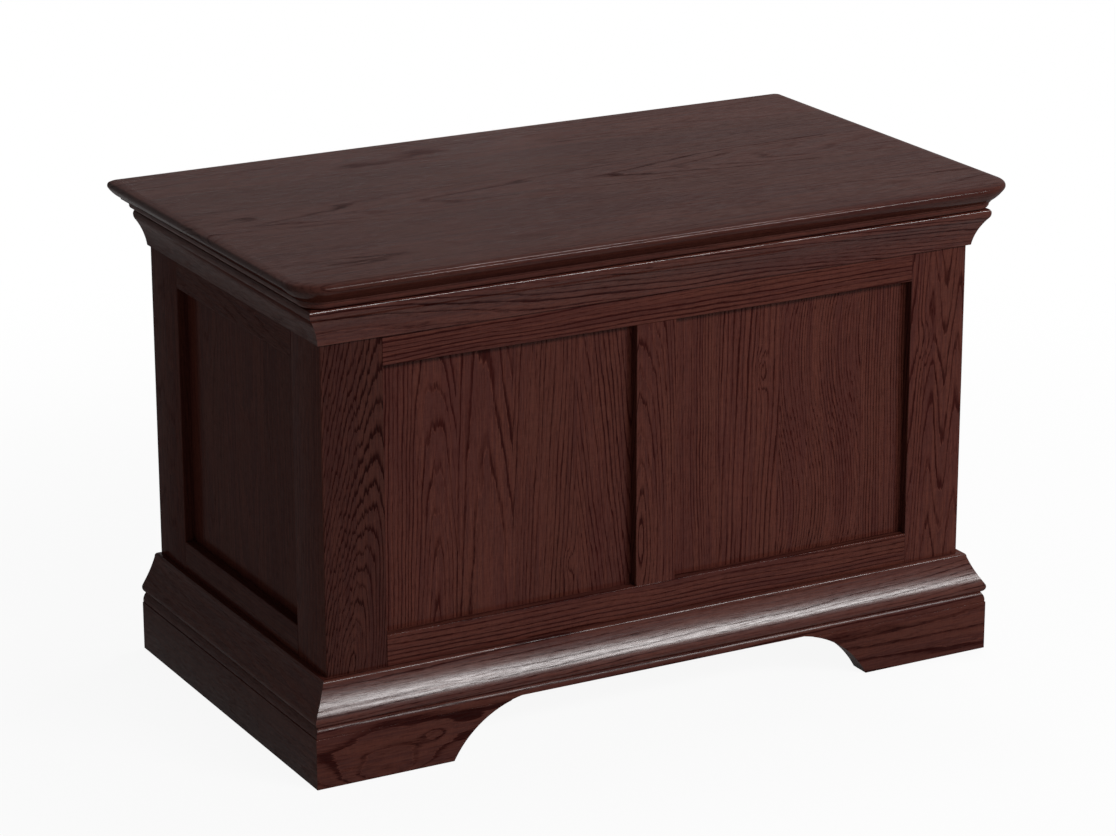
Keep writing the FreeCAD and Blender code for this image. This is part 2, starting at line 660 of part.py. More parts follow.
def make_rim_board(wall):
    """Rim board under the lid's edge on one wall, rounded along its lower outer edge."""
    body = wall_body(wall, f"lid_rim_{wall.name}", RIM_BOTTOM)
    plan = new_sketch(body, "plan", "XY_Plane")
    draw_outline(plan, rim_plan(wall))
    board = pad(body, plan, "rim_thickness")
    document.recompute()
    edges = [
        f"Edge{index}" for index, edge in enumerate(board.Shape.Edges, start=1)
        if edge.BoundBox.ZMax < SLIVER and edge.BoundBox.YMax < 0
    ]
    rounding = body.newObject("PartDesign::Fillet", "lower_edge")
    rounding.Base = (board, edges)
    rounding.setExpression("Radius", formula("rim_round"))


def make_lid():
    """Lid board, its rim and the battens that keep it flat."""
    make_lid_top()
    for wall in (FRONT_WALL, LEFT_WALL, RIGHT_WALL):
        make_rim_board(wall)
    rim_inner = f"({HALF_WIDTH} + rim_overhang - rim_width)"
    rim_front = f"({FRONT} + rim_width - rim_overhang)"
    rim_back = f"({BACK} - rim_width)"
    back_rim = make_block("lid_rim_back", f"-{rim_inner}", rim_inner, rim_back, BACK, RIM_BOTTOM, LID_BOTTOM)
    recess = new_sketch(back_rim, "hinge_recess", "XY_Plane")
    for middle in HINGE_PLACES:
        draw_outline(recess, box(
            f"{middle} - hinge_length / 2", f"{middle} + hinge_length / 2",
            f"{BACK} - leaf_width", f"{BACK} + {WASTE}"))
    cut(back_rim, recess, "leaf_thickness", reverse=True)
    for side, sign in (("left", "-"), ("right", "")):
        middle = f"{sign}({HALF_WIDTH} - batten_inset)"
        make_block(f"lid_batten_{side}", f"{middle} - batten_width / 2", f"{middle} + batten_width / 2",
                   f"{rim_front} + batten_play", f"{rim_back} - batten_play",
                   f"{LID_BOTTOM} - batten_thickness", LID_BOTTOM)


# Hinges, stay and screws

CASE_KNUCKLES = (0, 2)
LID_KNUCKLES = (1,)
KNUCKLES = len(CASE_KNUCKLES + LID_KNUCKLES)
KNUCKLE_PITCH = f"(hinge_length / {KNUCKLES})"


def make_leaf(label, offset, own_knuckles, sign=""):
    """Hinge leaf: a flat plate with tabs that run into its knuckles; sign is - for the lower leaf."""
    body = new_body(label, (offset, HINGE_Y, HINGE_Z))
    root = "(knuckle_radius + knuckle_play)"
    tab = "(knuckle_radius + pin_radius) / 2"
    far = "-(hinge_setback + leaf_width)"
    comb = [("-hinge_length / 2", far), ("hinge_length / 2", far)]
    for index in reversed(range(KNUCKLES)):
        middle = f"({index - KNUCKLES // 2} * {KNUCKLE_PITCH})"
        half = f"({KNUCKLE_PITCH} - knuckle_play) / 2"
        right_side = "hinge_length / 2" if index == KNUCKLES - 1 else f"{middle} + {half}"
        left_side = "-hinge_length / 2" if index == 0 else f"{middle} - {half}"
        if index in own_knuckles:
            comb += [
                (right_side, f"-{root}"), (right_side, f"-({tab})"),
                (left_side, f"-({tab})"), (left_side, f"-{root}"),
            ]
        elif index in (0, KNUCKLES - 1):
            comb.append((right_side if index else left_side, f"-{root}"))
    plate = new_sketch(body, "plate", "XY_Plane", f"{sign}lid_gap / 2")
    draw_outline(plate, comb)
    pad(body, plate, "leaf_thickness", reverse=sign == "-")
    for index in own_knuckles:
        left_trim = "0" if index == 0 else "knuckle_play / 2"
        right_trim = "0" if index == KNUCKLES - 1 else "knuckle_play / 2"
        start = f"{index - KNUCKLES / 2} * {KNUCKLE_PITCH} + {left_trim}"
        ring = new_sketch(body, f"knuckle_{index + 1}", "YZ_Plane", start)
        draw_circle(ring, "0", "0", "knuckle_radius")
        draw_circle(ring, "0", "0", "pin_radius + pin_play")
        pad(body, ring, f"{KNUCKLE_PITCH} - {left_trim} - {right_trim}")
    holes = new_sketch(body, "screw_holes", "XY_Plane")
    for x in leaf_screw_places():
        draw_circle(holes, x, "-(hinge_setback + leaf_width / 2)", "screw_head_radius")
    cut(body, holes, both_ways=True)


def leaf_screw_places():
    """Screw places along a leaf, from the hinge's middle."""
    return ("-(hinge_length / 2 - leaf_screw_inset)", "hinge_length / 2 - leaf_screw_inset")


def make_turned(label, at, profile):
    """Turned metal piece: a half outline of (place along X, radius) spun about its own X axis."""
    body = new_body(label, at)
    sketch = new_sketch(body, "half_outline", "XY_Plane")
    draw_outline(sketch, profile)
    spin = body.newObject("PartDesign::Revolution", "turned")
    spin.Profile = sketch
    spin.ReferenceAxis = (origin_feature(body, "X_Axis"), [""])
    spin.Angle = 360


def make_hinges():
    """Two butt hinges let into the back wall and the rim."""
    for side, offset in zip(("left", "right"), HINGE_PLACES):
        make_leaf(f"hinge_{side}_case_leaf", offset, CASE_KNUCKLES, "-")
        make_leaf(f"hinge_{side}_lid_leaf", offset, LID_KNUCKLES)
        pin = new_body(f"hinge_{side}_pin", (offset, HINGE_Y, HINGE_Z))
        rod = new_sketch(pin, "rod", "YZ_Plane")
        draw_circle(rod, "0", "0", "pin_radius")
        pad(pin, rod, "hinge_length", both_ways=True)


def stadium(half_width, top, bottom):
    """Upright slot shape with round ends, about the sketch's vertical axis."""
    return [(half_width, bottom), (half_width, top, f"-({half_width})"),
            (f"-({half_width})", top), (f"-({half_width})", bottom, f"-({half_width})")]


def make_stay():
    """Slotted arm that hangs from the lid and slides on a stud on the right wall.

    Pivot and stud are equally far from the hinge axis, so the arm turns half as far as the lid.
    """
    arm = new_body("stay_arm", PIVOT_AT, (1, 0, 0), STAY_TILT)
    bar = new_sketch(arm, "bar", "YZ_Plane")
    draw_outline(bar, stadium("stay_width / 2", "0", f"-({SLOT_FAR} + stay_tail)"))
    draw_outline(bar, stadium("stud_radius + stay_play", f"-({SLOT_NEAR} - stay_slot_room)",
                              f"-({SLOT_FAR} + stay_play)"))
    draw_circle(bar, "0", "0", "stay_rivet_radius + pin_play")
    pad(arm, bar, "stay_thickness", both_ways=True)

    bracket = new_body("stay_lid_bracket", PIVOT_AT)
    near = "(stay_thickness / 2 + stay_play)"
    far = f"({near} + stay_thickness)"
    rise = f"({LID_BOTTOM} - {HINGE_Z} + stay_drop)"
    ear = new_sketch(bracket, "ear", "YZ_Plane", f"-{far}")
    draw_outline(ear, [("stay_width / 2", rise), ("-stay_width / 2", rise),
                       ("-stay_width / 2", "0", "-stay_width / 2"), ("stay_width / 2", "0")])
    draw_circle(ear, "0", "0", "stay_rivet_radius")
    pad(bracket, ear, "stay_thickness")
    foot = new_sketch(bracket, "foot", "XY_Plane", rise)
    draw_outline(foot, box(
        f"-{near} - bracket_foot", f"-{near}", "-bracket_length / 2", "bracket_length / 2"))
    pad(bracket, foot, "stay_thickness", reverse=True)
    holes = new_sketch(bracket, "screw_holes", "XY_Plane", rise)
    for y in bracket_screw_places():
        draw_circle(holes, BRACKET_SCREW_X, y, "screw_head_radius")
    cut(bracket, holes, "stay_thickness")

    make_turned("stay_rivet", PIVOT_AT, [
        (f"-{far} - stay_thickness", "0"), (f"-{far} - stay_thickness", "stay_rivet_head"),
        (f"-{far}", "stay_rivet_head"), (f"-{far}", "stay_rivet_radius"),
        (near, "stay_rivet_radius"), (near, "stay_rivet_head"),
        (f"{near} + stay_thickness", "stay_rivet_head"), (f"{near} + stay_thickness", "0"),
    ])

    plate = new_body("stay_case_plate", STUD_AT)
    face = new_sketch(plate, "face", "YZ_Plane", "stay_offset - stay_thickness")
    draw_outline(face, stadium("plate_width / 2", "plate_above - plate_width / 2",
                               "-plate_below + plate_width / 2"))
    for z in plate_screw_places():
        draw_circle(face, "0", z, "screw_head_radius")
    pad(plate, face, "stay_thickness")

    room = "(stay_thickness / 2 + 2 * stay_play)"
    make_turned("stay_stud", STUD_AT, [
        (f"-{room} - stay_thickness", "0"), (f"-{room} - stay_thickness", "stud_head_radius"),
        (f"-{room}", "stud_head_radius"), (f"-{room}", "stud_radius"),
        (room, "stud_radius"), (room, "stud_head_radius"),
        ("stay_offset - stay_thickness", "stud_head_radius"), ("stay_offset - stay_thickness", "0"),
    ])


def bracket_screw_places():
    """Screw places along the bracket's foot."""
    return ("-bracket_length / 3", "bracket_length / 3")


def plate_screw_places():
    """Screw places up the stud's plate."""
    return ("plate_screw_gap", "2 * plate_screw_gap")


def screw(at, direction):
    """Countersunk screw whose head lies flush at a point and whose six-sided core goes the given way."""
    point = FreeCAD.Vector(*map(number, at))
    way = FreeCAD.Vector(*direction)
    head = number("screw_head_radius")
    shank = number("screw_radius")
    taper = head - shank
    cone = Part.makeCone(head, shank, taper, point, way)
    across = FreeCAD.Vector(way.z, way.x, way.y) * shank
    turns = [FreeCAD.Rotation(way, corner * 60) for corner in range(7)]
    outline = Part.makePolygon([point + way * taper + turn.multVec(across) for turn in turns])
    core = Part.Face(outline).extrude(way * (number("screw_length") - taper))
    return cone.fuse(core).removeSplitter()


def make_group(label, solids):
    """Identical small pieces that share one node, each a solid of its own."""
    group = document.addObject("Part::Feature", label)
    group.Label = label
    group.Shape = Part.makeCompound(solids)
    parts.append(group)


def make_screws_and_buffers():
    """Screws of the hinges and the stay, on the case and on the lid, and the lid's buffers."""
    case_screws = []
    lid_screws = []
    row_y = f"{BACK} - leaf_width / 2"
    for offset in HINGE_PLACES:
        for x in leaf_screw_places():
            case_screws.append(screw((f"{offset} + {x}", row_y, TOP), (0, 0, -1)))
            lid_screws.append(screw((f"{offset} + {x}", row_y, RIM_BOTTOM), (0, 0, 1)))
    for z in plate_screw_places():
        inside = f"{HALF_WIDTH} - frame_thickness - stay_thickness"
        case_screws.append(screw((inside, STUD_AT[1], f"{STUD_AT[2]} + {z}"), (1, 0, 0)))
    for y in bracket_screw_places():
        under = f"{LID_BOTTOM} - stay_thickness"
        lid_screws.append(screw((f"{ARM_X} + {BRACKET_SCREW_X}", f"{PIVOT_AT[1]} + {y}", under), (0, 0, 1)))
    make_group("case_screws", case_screws)
    make_group("lid_screws", lid_screws)
    pads = []
    side = number("buffer_size")
    for sign in ("-", ""):
        corner = (f"{sign}({HALF_WIDTH} - frame_thickness / 2) - buffer_size / 2",
                  f"{FRONT} + frame_thickness / 2 - buffer_size / 2", TOP)
        pads.append(Part.makeBox(side, side, number("lid_gap - buffer_play"),
                                 FreeCAD.Vector(*map(number, corner))))
    make_group("lid_buffers", pads)


def cut_hinge_recesses(top_rail):
    """Let the hinge leaves into the back wall's top edge."""
    sketch = new_sketch(top_rail, "hinge_recess", "XY_Plane", "carcase_height")
    for middle in HINGE_PLACES:
        draw_outline(sketch, box(
            f"{middle} - hinge_length / 2", f"{middle} + hinge_length / 2", f"-{WASTE}", "leaf_width"))
    cut(top_rail, sketch, "leaf_thickness")


def check_and_write():
    """Recompute, refuse any failed object or bad shape, and write one STEP file per sub-part."""
    document.recompute()
    for item in document.Objects:
        if {"Invalid", "Error"} & set(item.State):
            raise RuntimeError(f"{item.Label} failed: {item.State}")
    os.makedirs("parts", exist_ok=True)
    for part in parts:
        if part.Shape.isNull() or not part.Shape.isValid() or not part.Shape.Solids:
            raise RuntimeError(f"{part.Label} has a bad shape")
        part.Shape.exportStep(f"parts/{part.Label}.step")
    print(len(parts), "sub-parts written")


make_wall(FRONT_WALL, muntin=True)
make_wall(LEFT_WALL)
make_wall(RIGHT_WALL)
cut_hinge_recesses(make_wall(BACK_WALL))
for wall in (FRONT_WALL, LEFT_WALL, RIGHT_WALL):
    make_run(wall, f"cornice_{wall.name}", f"{TOP} - cornice_height", "cornice_height",
             "cornice_projection", cornice_waste())
    make_run(wall, f"base_moulding_{wall.name}", "plinth_height", "base_height",
             "(base_projection + base_nose_bulge)", base_waste())
    plinth = make_run(wall, f"plinth_{wall.name}", "0", "plinth_height", "plinth_thickness", plinth_waste())
    if wall is FRONT_WALL:
        cut_arch(plinth)
make_plinth_back_and_blocks()
make_floor()
make_lid()
make_hinges()
make_stay()
make_screws_and_buffers()
check_and_write()
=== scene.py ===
"""Looks of the blanket chest: stained and varnished oak, plain oak inside, brass fittings and felt pads."""

import logging
import math
import random
from collections.abc import Callable, Iterable, Sequence
from dataclasses import dataclass, field, replace
from enum import Enum
from typing import TypeAlias

import bmesh
import bpy
from mathutils import Euler, Matrix, Vector


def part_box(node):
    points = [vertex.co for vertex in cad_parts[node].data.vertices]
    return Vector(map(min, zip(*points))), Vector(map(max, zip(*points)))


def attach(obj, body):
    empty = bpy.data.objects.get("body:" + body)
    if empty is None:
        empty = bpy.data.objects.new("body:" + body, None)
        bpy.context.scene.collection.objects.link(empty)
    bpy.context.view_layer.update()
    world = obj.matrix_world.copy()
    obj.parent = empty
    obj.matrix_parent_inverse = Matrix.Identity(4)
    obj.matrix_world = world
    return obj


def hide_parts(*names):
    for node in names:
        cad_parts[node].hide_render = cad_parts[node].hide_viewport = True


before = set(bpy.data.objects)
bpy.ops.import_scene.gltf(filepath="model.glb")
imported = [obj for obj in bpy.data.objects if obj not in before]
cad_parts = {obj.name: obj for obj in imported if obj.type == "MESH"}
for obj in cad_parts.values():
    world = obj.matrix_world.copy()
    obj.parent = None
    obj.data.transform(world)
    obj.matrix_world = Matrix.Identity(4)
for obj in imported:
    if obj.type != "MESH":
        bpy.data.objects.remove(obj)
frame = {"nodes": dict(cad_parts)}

Colour = tuple[float, float, float]
Point = tuple[float, float]
Stops = tuple[tuple[float, float], ...]
Number: TypeAlias = "float | Value"

log = logging.getLogger("blanket_chest")
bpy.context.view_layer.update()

# Random numbers and noise: where the draws start, how far apart the boards and their staves lie in the noise,
# and how a seed moves it along each axis.
DICE_SEED = 7
SEED_RANGE = 90.0
STAVE_SEED_STEP = 5.3
SEED_SPREAD = (1.0, 0.37, 0.71)

# Width of the staves that a wide board is glued up from, and one that no single board reaches.
GLUED_WIDTH = 0.095
SINGLE_WIDTH = 1.0

# How far an arc of a quarter and of an eighth of a turn stands off its chord, at a radius of 1.
QUARTER_BOW = 1 - math.sqrt(0.5)
EIGHTH_BOW = 1 - math.cos(math.pi / 8)

# How faces and edges are told apart: the cosine over which a face looks a given way, the one under which it
# lies across that way, how near a plane a point counts as in it, and the angle up to which edges are smooth.
FACING = 0.9
EDGEWISE = 0.1
TOUCHING = 1e-5
SMOOTH_BELOW = math.radians(40.0)

WHITE = (1.0, 1.0, 1.0, 1.0)


# Shader maths

class Value:
    """A number that varies over a surface, whose operators add Math nodes to its material."""

    def __init__(self, shader: "Shader", socket: bpy.types.NodeSocket) -> None:
        """Keep the material and the socket that gives the number."""
        self.shader = shader
        self.socket = socket

    def __add__(self, other: Number) -> "Value":
        """Add."""
        return self.shader.maths("ADD", self, other)

    __radd__ = __add__

    def __sub__(self, other: Number) -> "Value":
        """Subtract a number from this one."""
        return self.shader.maths("SUBTRACT", self, other)

    def __rsub__(self, other: Number) -> "Value":
        """Subtract this number from another."""
        return self.shader.maths("SUBTRACT", other, self)

    def __mul__(self, other: Number) -> "Value":
        """Multiply."""
        return self.shader.maths("MULTIPLY", self, other)

    __rmul__ = __mul__

    def __truediv__(self, other: Number) -> "Value":
        """Divide this number by another."""
        return self.shader.maths("DIVIDE", self, other)

    def fraction(self) -> "Value":
        """Part of the number behind its decimal point."""
        return self.shader.maths("FRACT", self)

    def whole(self) -> "Value":
        """Number without the part behind its decimal point."""
        return self.shader.maths("FLOOR", self)

    def root(self) -> "Value":
        """Square root."""
        return self.shader.maths("SQRT", self)

    def over(self, limit: Number) -> "Value":
        """1 where the number is greater than a limit, otherwise 0."""
        return self.shader.maths("GREATER_THAN", self, limit)

    def rise(self, low: float, high: float) -> "Value":
        """Smooth step.

        Args:
            low: where the step starts from 0.
            high: where it reaches 1.

        Returns:
            A number from 0 to 1.
        """
        made = self.shader.node(
            "ShaderNodeMapRange",
            {"interpolation_type": "SMOOTHSTEP"},
            {"Value": self, "From Min": low, "From Max": high},
        )
        return Value(self.shader, made.outputs["Result"])


@dataclass(frozen=True)
class Pattern:
    """A noise pattern. Its patches are across wide and along long, in metres.

    place keeps patterns apart, detail is the number of finer layers, and roughness is how strong those are.
    """

    across: float
    along: float
    place: float = 0.0
    detail: float = 2.0
    roughness: float = 0.5


class Shader:
    """Node tree of a material or of the world, with the few operations that the finishes are written in."""

    def __init__(self, owner: bpy.types.Material | bpy.types.World) -> None:
        """Start with an empty tree.

        Args:
            owner: the material or world that the tree belongs to.
        """
        self.owner = owner
        owner.use_nodes = True
        self.tree = owner.node_tree
        self.tree.nodes.clear()

    @classmethod
    def of_material(cls, name: str) -> "Shader":
        """Start the tree of a new material."""
        return cls(bpy.data.materials.new(name))

    def node(
        self,
        kind: str,
        settings: dict[str, object] | None = None,
        inputs: dict[str, object] | None = None,
    ) -> bpy.types.Node:
        """Add any node.

        Args:
            kind: the node's type.
            settings: its own settings, and "stops" for a ramp's places and colours.
            inputs: a value or a link for each of its sockets, by identifier.

        Returns:
            The new node.
        """
        made = self.tree.nodes.new(kind)
        for name, setting in (settings or {}).items():
            if name == "stops":
                self.set_stops(made.color_ramp, setting)
            else:
                setattr(made, name, setting)
        sockets = {socket.identifier: socket for socket in made.inputs}
        for name, given in (inputs or {}).items():
            if isinstance(given, Value):
                given = given.socket
            if isinstance(given, bpy.types.NodeSocket):
                self.tree.links.new(given, sockets[name])
            else:
                sockets[name].default_value = given
        return made

    @staticmethod
    def set_stops(ramp: bpy.types.ColorRamp, stops: Stops) -> None:
        """Give a ramp its stops.

        Args:
            ramp: the ramp, with the two stops of a new one.
            stops: place and grey level of each stop, in order.
        """
        while len(ramp.elements) < len(stops):
            ramp.elements.new(1.0)
        for element, (position, level) in zip(ramp.elements, stops):
            element.position = position
            element.color = (level, level, level, 1.0)

    def maths(self, operation: str, *terms: Number) -> Value:
        """Add a Math node.

        Args:
            operation: the node's operation.
            terms: one to three numbers.

        Returns:
            The result.
        """
        names = ("Value", "Value_001", "Value_002")
        made = self.node("ShaderNodeMath", {"operation": operation}, dict(zip(names, terms)))
        return Value(self, made.outputs[0])

    def ramp(self, position: Value, stops: Stops) -> Value:
        """Read a number off a ramp.

        Args:
            position: where to read, from 0 to 1.
            stops: place and level of each stop.

        Returns:
            The level there.
        """
        made = self.node("ShaderNodeValToRGB", {"stops": stops}, {"Fac": position})
        return Value(self, made.outputs["Color"])

    def axes(self, vector: bpy.types.NodeSocket) -> tuple[Value, Value, Value]:
        """Split a vector into its three numbers."""
        made = self.node("ShaderNodeSeparateXYZ", inputs={"Vector": vector})
        return tuple(Value(self, socket) for socket in made.outputs)

    def mapped(
        self,
        vector: bpy.types.NodeSocket,
        move: Sequence[float] = (0.0, 0.0, 0.0),
        turn: Sequence[float] = (0.0, 0.0, 0.0),
        scale: Sequence[float] = (1.0, 1.0, 1.0),
    ) -> bpy.types.NodeSocket:
        """Turn, scale and move coordinates.

        Args:
            vector: the coordinates.
            move: how far they are moved, after the rest.
            turn: the turn about each axis, in radians.
            scale: the scale along each axis.

        Returns:
            The new coordinates.
        """
        made = self.node(
            "ShaderNodeMapping",
            {"vector_type": "POINT"},
            {"Vector": vector, "Location": move, "Rotation": turn, "Scale": scale},
        )
        return made.outputs["Vector"]

    def slid(self, vector: bpy.types.NodeSocket, by: Value) -> bpy.types.NodeSocket:
        """Move coordinates along the third axis.

        Args:
            vector: the coordinates.
            by: how far, as a number that varies over the surface.

        Returns:
            The new coordinates.
        """
        offset = self.node("ShaderNodeCombineXYZ", inputs={"Z": by})
        made = self.node(
            "ShaderNodeVectorMath",
            {"operation": "ADD"},
            {"Vector": vector, "Vector_001": offset.outputs["Vector"]},
        )
        return made.outputs["Vector"]

    def seen(self) -> Value:
        """Tell rays that show a background from those that carry light.

        Returns:
            1 for rays from the camera, off gloss and through glass, otherwise 0.
        """
        rays = self.node("ShaderNodeLightPath").outputs
        camera, gloss, glass = (
            Value(self, rays[f"Is {kind} Ray"]) for kind in ("Camera", "Glossy", "Transmission")
        )
        return self.maths("MAXIMUM", self.maths("MAXIMUM", camera, gloss), glass)

    def place(self) -> bpy.types.NodeSocket:
        """Coordinates of the surface in the chest's own frame, in metres."""
        return self.node("ShaderNodeTexCoord").outputs["Object"]

    def noise(self, vector: bpy.types.NodeSocket, pattern: Pattern, seed: float = 0.0) -> Value:
        """Soft noise, stretched along the third axis.

        Args:
            vector: coordinates, with the grain along the third.
            pattern: the size, place and fineness of its patches.
            seed: the piece's own place in the pattern.

        Returns:
            A number about 0, from about -0.5 to 0.5.
        """
        start = seed + pattern.place
        stretched = self.mapped(
            vector,
            move=tuple(start * share for share in SEED_SPREAD),
            scale=(1 / pattern.across, 1 / pattern.across, 1 / pattern.along),
        )
        made = self.node(
            "ShaderNodeTexNoise",
            inputs={
                "Vector": stretched,
                "Scale": 1.0,
                "Detail": pattern.detail,
                "Roughness": pattern.roughness,
            },
        )
        return Value(self, made.outputs["Fac"]) - 0.5

    def dice(self, number: Value) -> Value:
        """Random number from 0 to 1 that stays the same wherever the given one does."""
        made = self.node("ShaderNodeTexWhiteNoise", {"noise_dimensions": "1D"}, {"W": number})
        return Value(self, made.outputs["Value"])

    def blend(
        self, share: Number, first: Colour | bpy.types.NodeSocket, second: Colour | bpy.types.NodeSocket
    ) -> bpy.types.NodeSocket:
        """Mix two colours.

        Args:
            share: share of the second colour.
            first: a colour or a link.
            second: a colour or a link.

        Returns:
            The mixed colour.
        """
        colours = [(*c, 1.0) if isinstance(c, tuple) else c for c in (first, second)]
        made = self.node(
            "ShaderNodeMix",
            {"data_type": "RGBA"},
            {"Factor_Float": share, "A_Color": colours[0], "B_Color": colours[1]},
        )
        return next(socket for socket in made.outputs if socket.identifier == "Result_Color")

    def dimmed(self, colour: bpy.types.NodeSocket, level: Value) -> bpy.types.NodeSocket:
        """Scale a colour.

        Args:
            colour: the colour.
            level: what it is scaled by.

        Returns:
            The new colour.
        """
        made = self.node(
            "ShaderNodeVectorMath", {"operation": "SCALE"}, {"Vector": colour, "Scale": level}
        )
        return made.outputs["Vector"]

    def relief(self, height: Value, depth: float) -> bpy.types.NodeSocket:
        """Normal of a surface that rises with a number.

        Args:
            height: the number, from 0 to 1.
            depth: height of a rise of 1, in metres.

        Returns:
            The normal.
        """
        made = self.node("ShaderNodeBump", inputs={"Strength": 1.0, "Distance": depth, "Height": height})
        return made.outputs["Normal"]

    def close(self, surface: bpy.types.NodeSocket) -> bpy.types.Material | bpy.types.World:
        """Link the finished surface to the output.

        Args:
            surface: the finished surface or background.

        Returns:
            The finished material or world.
        """
        kind = "World" if isinstance(self.owner, bpy.types.World) else "Material"
        self.node(f"ShaderNodeOutput{kind}", inputs={"Surface": surface})
        return self.owner


# Finishes

class Grain(Enum):
    """Which way a board's grain runs, as the turn that lays it along the third axis.

    After the turn the first axis runs across the board's face, and the second into its thickness.
    """

    UP_ON_FRONT = (0.0, 0.0, 0.0)
    UP_ON_SIDE = (0.0, 0.0, math.pi / 2)
    LONG_ON_FRONT = (0.0, math.pi / 2, 0.0)
    LONG_ON_SIDE = (math.pi / 2, 0.0, math.pi / 2)
    LONG_FLAT = (-math.pi / 2, math.pi / 2, 0.0)
    DEEP_FLAT = (math.pi / 2, 0.0, 0.0)


@dataclass(frozen=True)
class Eye:
    """A place where the rings bulge, so that they show as closed loops on the face."""

    across: float
    along: float
    half_width: float
    half_length: float
    rise: float


@dataclass(frozen=True)
class Stave:
    """How one stave of a board lay in its log. All lengths are in metres.

    Its rings are shells round the log's heart, so its face shows arches over the heart and lines beside it.
    until is where the stave ends across the board. heart is where the log's heart passes behind the board's
    middle, depth how far behind, slant and lean how it runs off sideways and inwards, per metre along the
    grain, and bend how the lean changes. sway is how far the rings swing from side to side. ripple is the
    height of waves in the rings, and ripple_width their length across the board. tone scales its colour, and
    figure says how strongly its pores stand out.
    """

    until: float = 9.0
    heart: float = 0.0
    slant: float = 0.0
    sway: float = 0.0
    depth: float = 0.055
    lean: float = 0.08
    bend: float = 0.0
    ring: float = 0.0048
    ripple: float = 0.0
    ripple_width: float = 0.05
    # Colour level of the stave: its own colour, and on the front's left stile and the lid board painted shade
    # as well.
    tone: float = 1.0
    figure: float = 1.0
    eyes: tuple[Eye, ...] = ()


@dataclass(frozen=True)
class Timber:
    """The wood that one board is made of: where it lies, which way its grain runs and how it was glued up."""

    centre: Vector
    grain: Grain
    staves: tuple[Stave, ...]
    seed: float


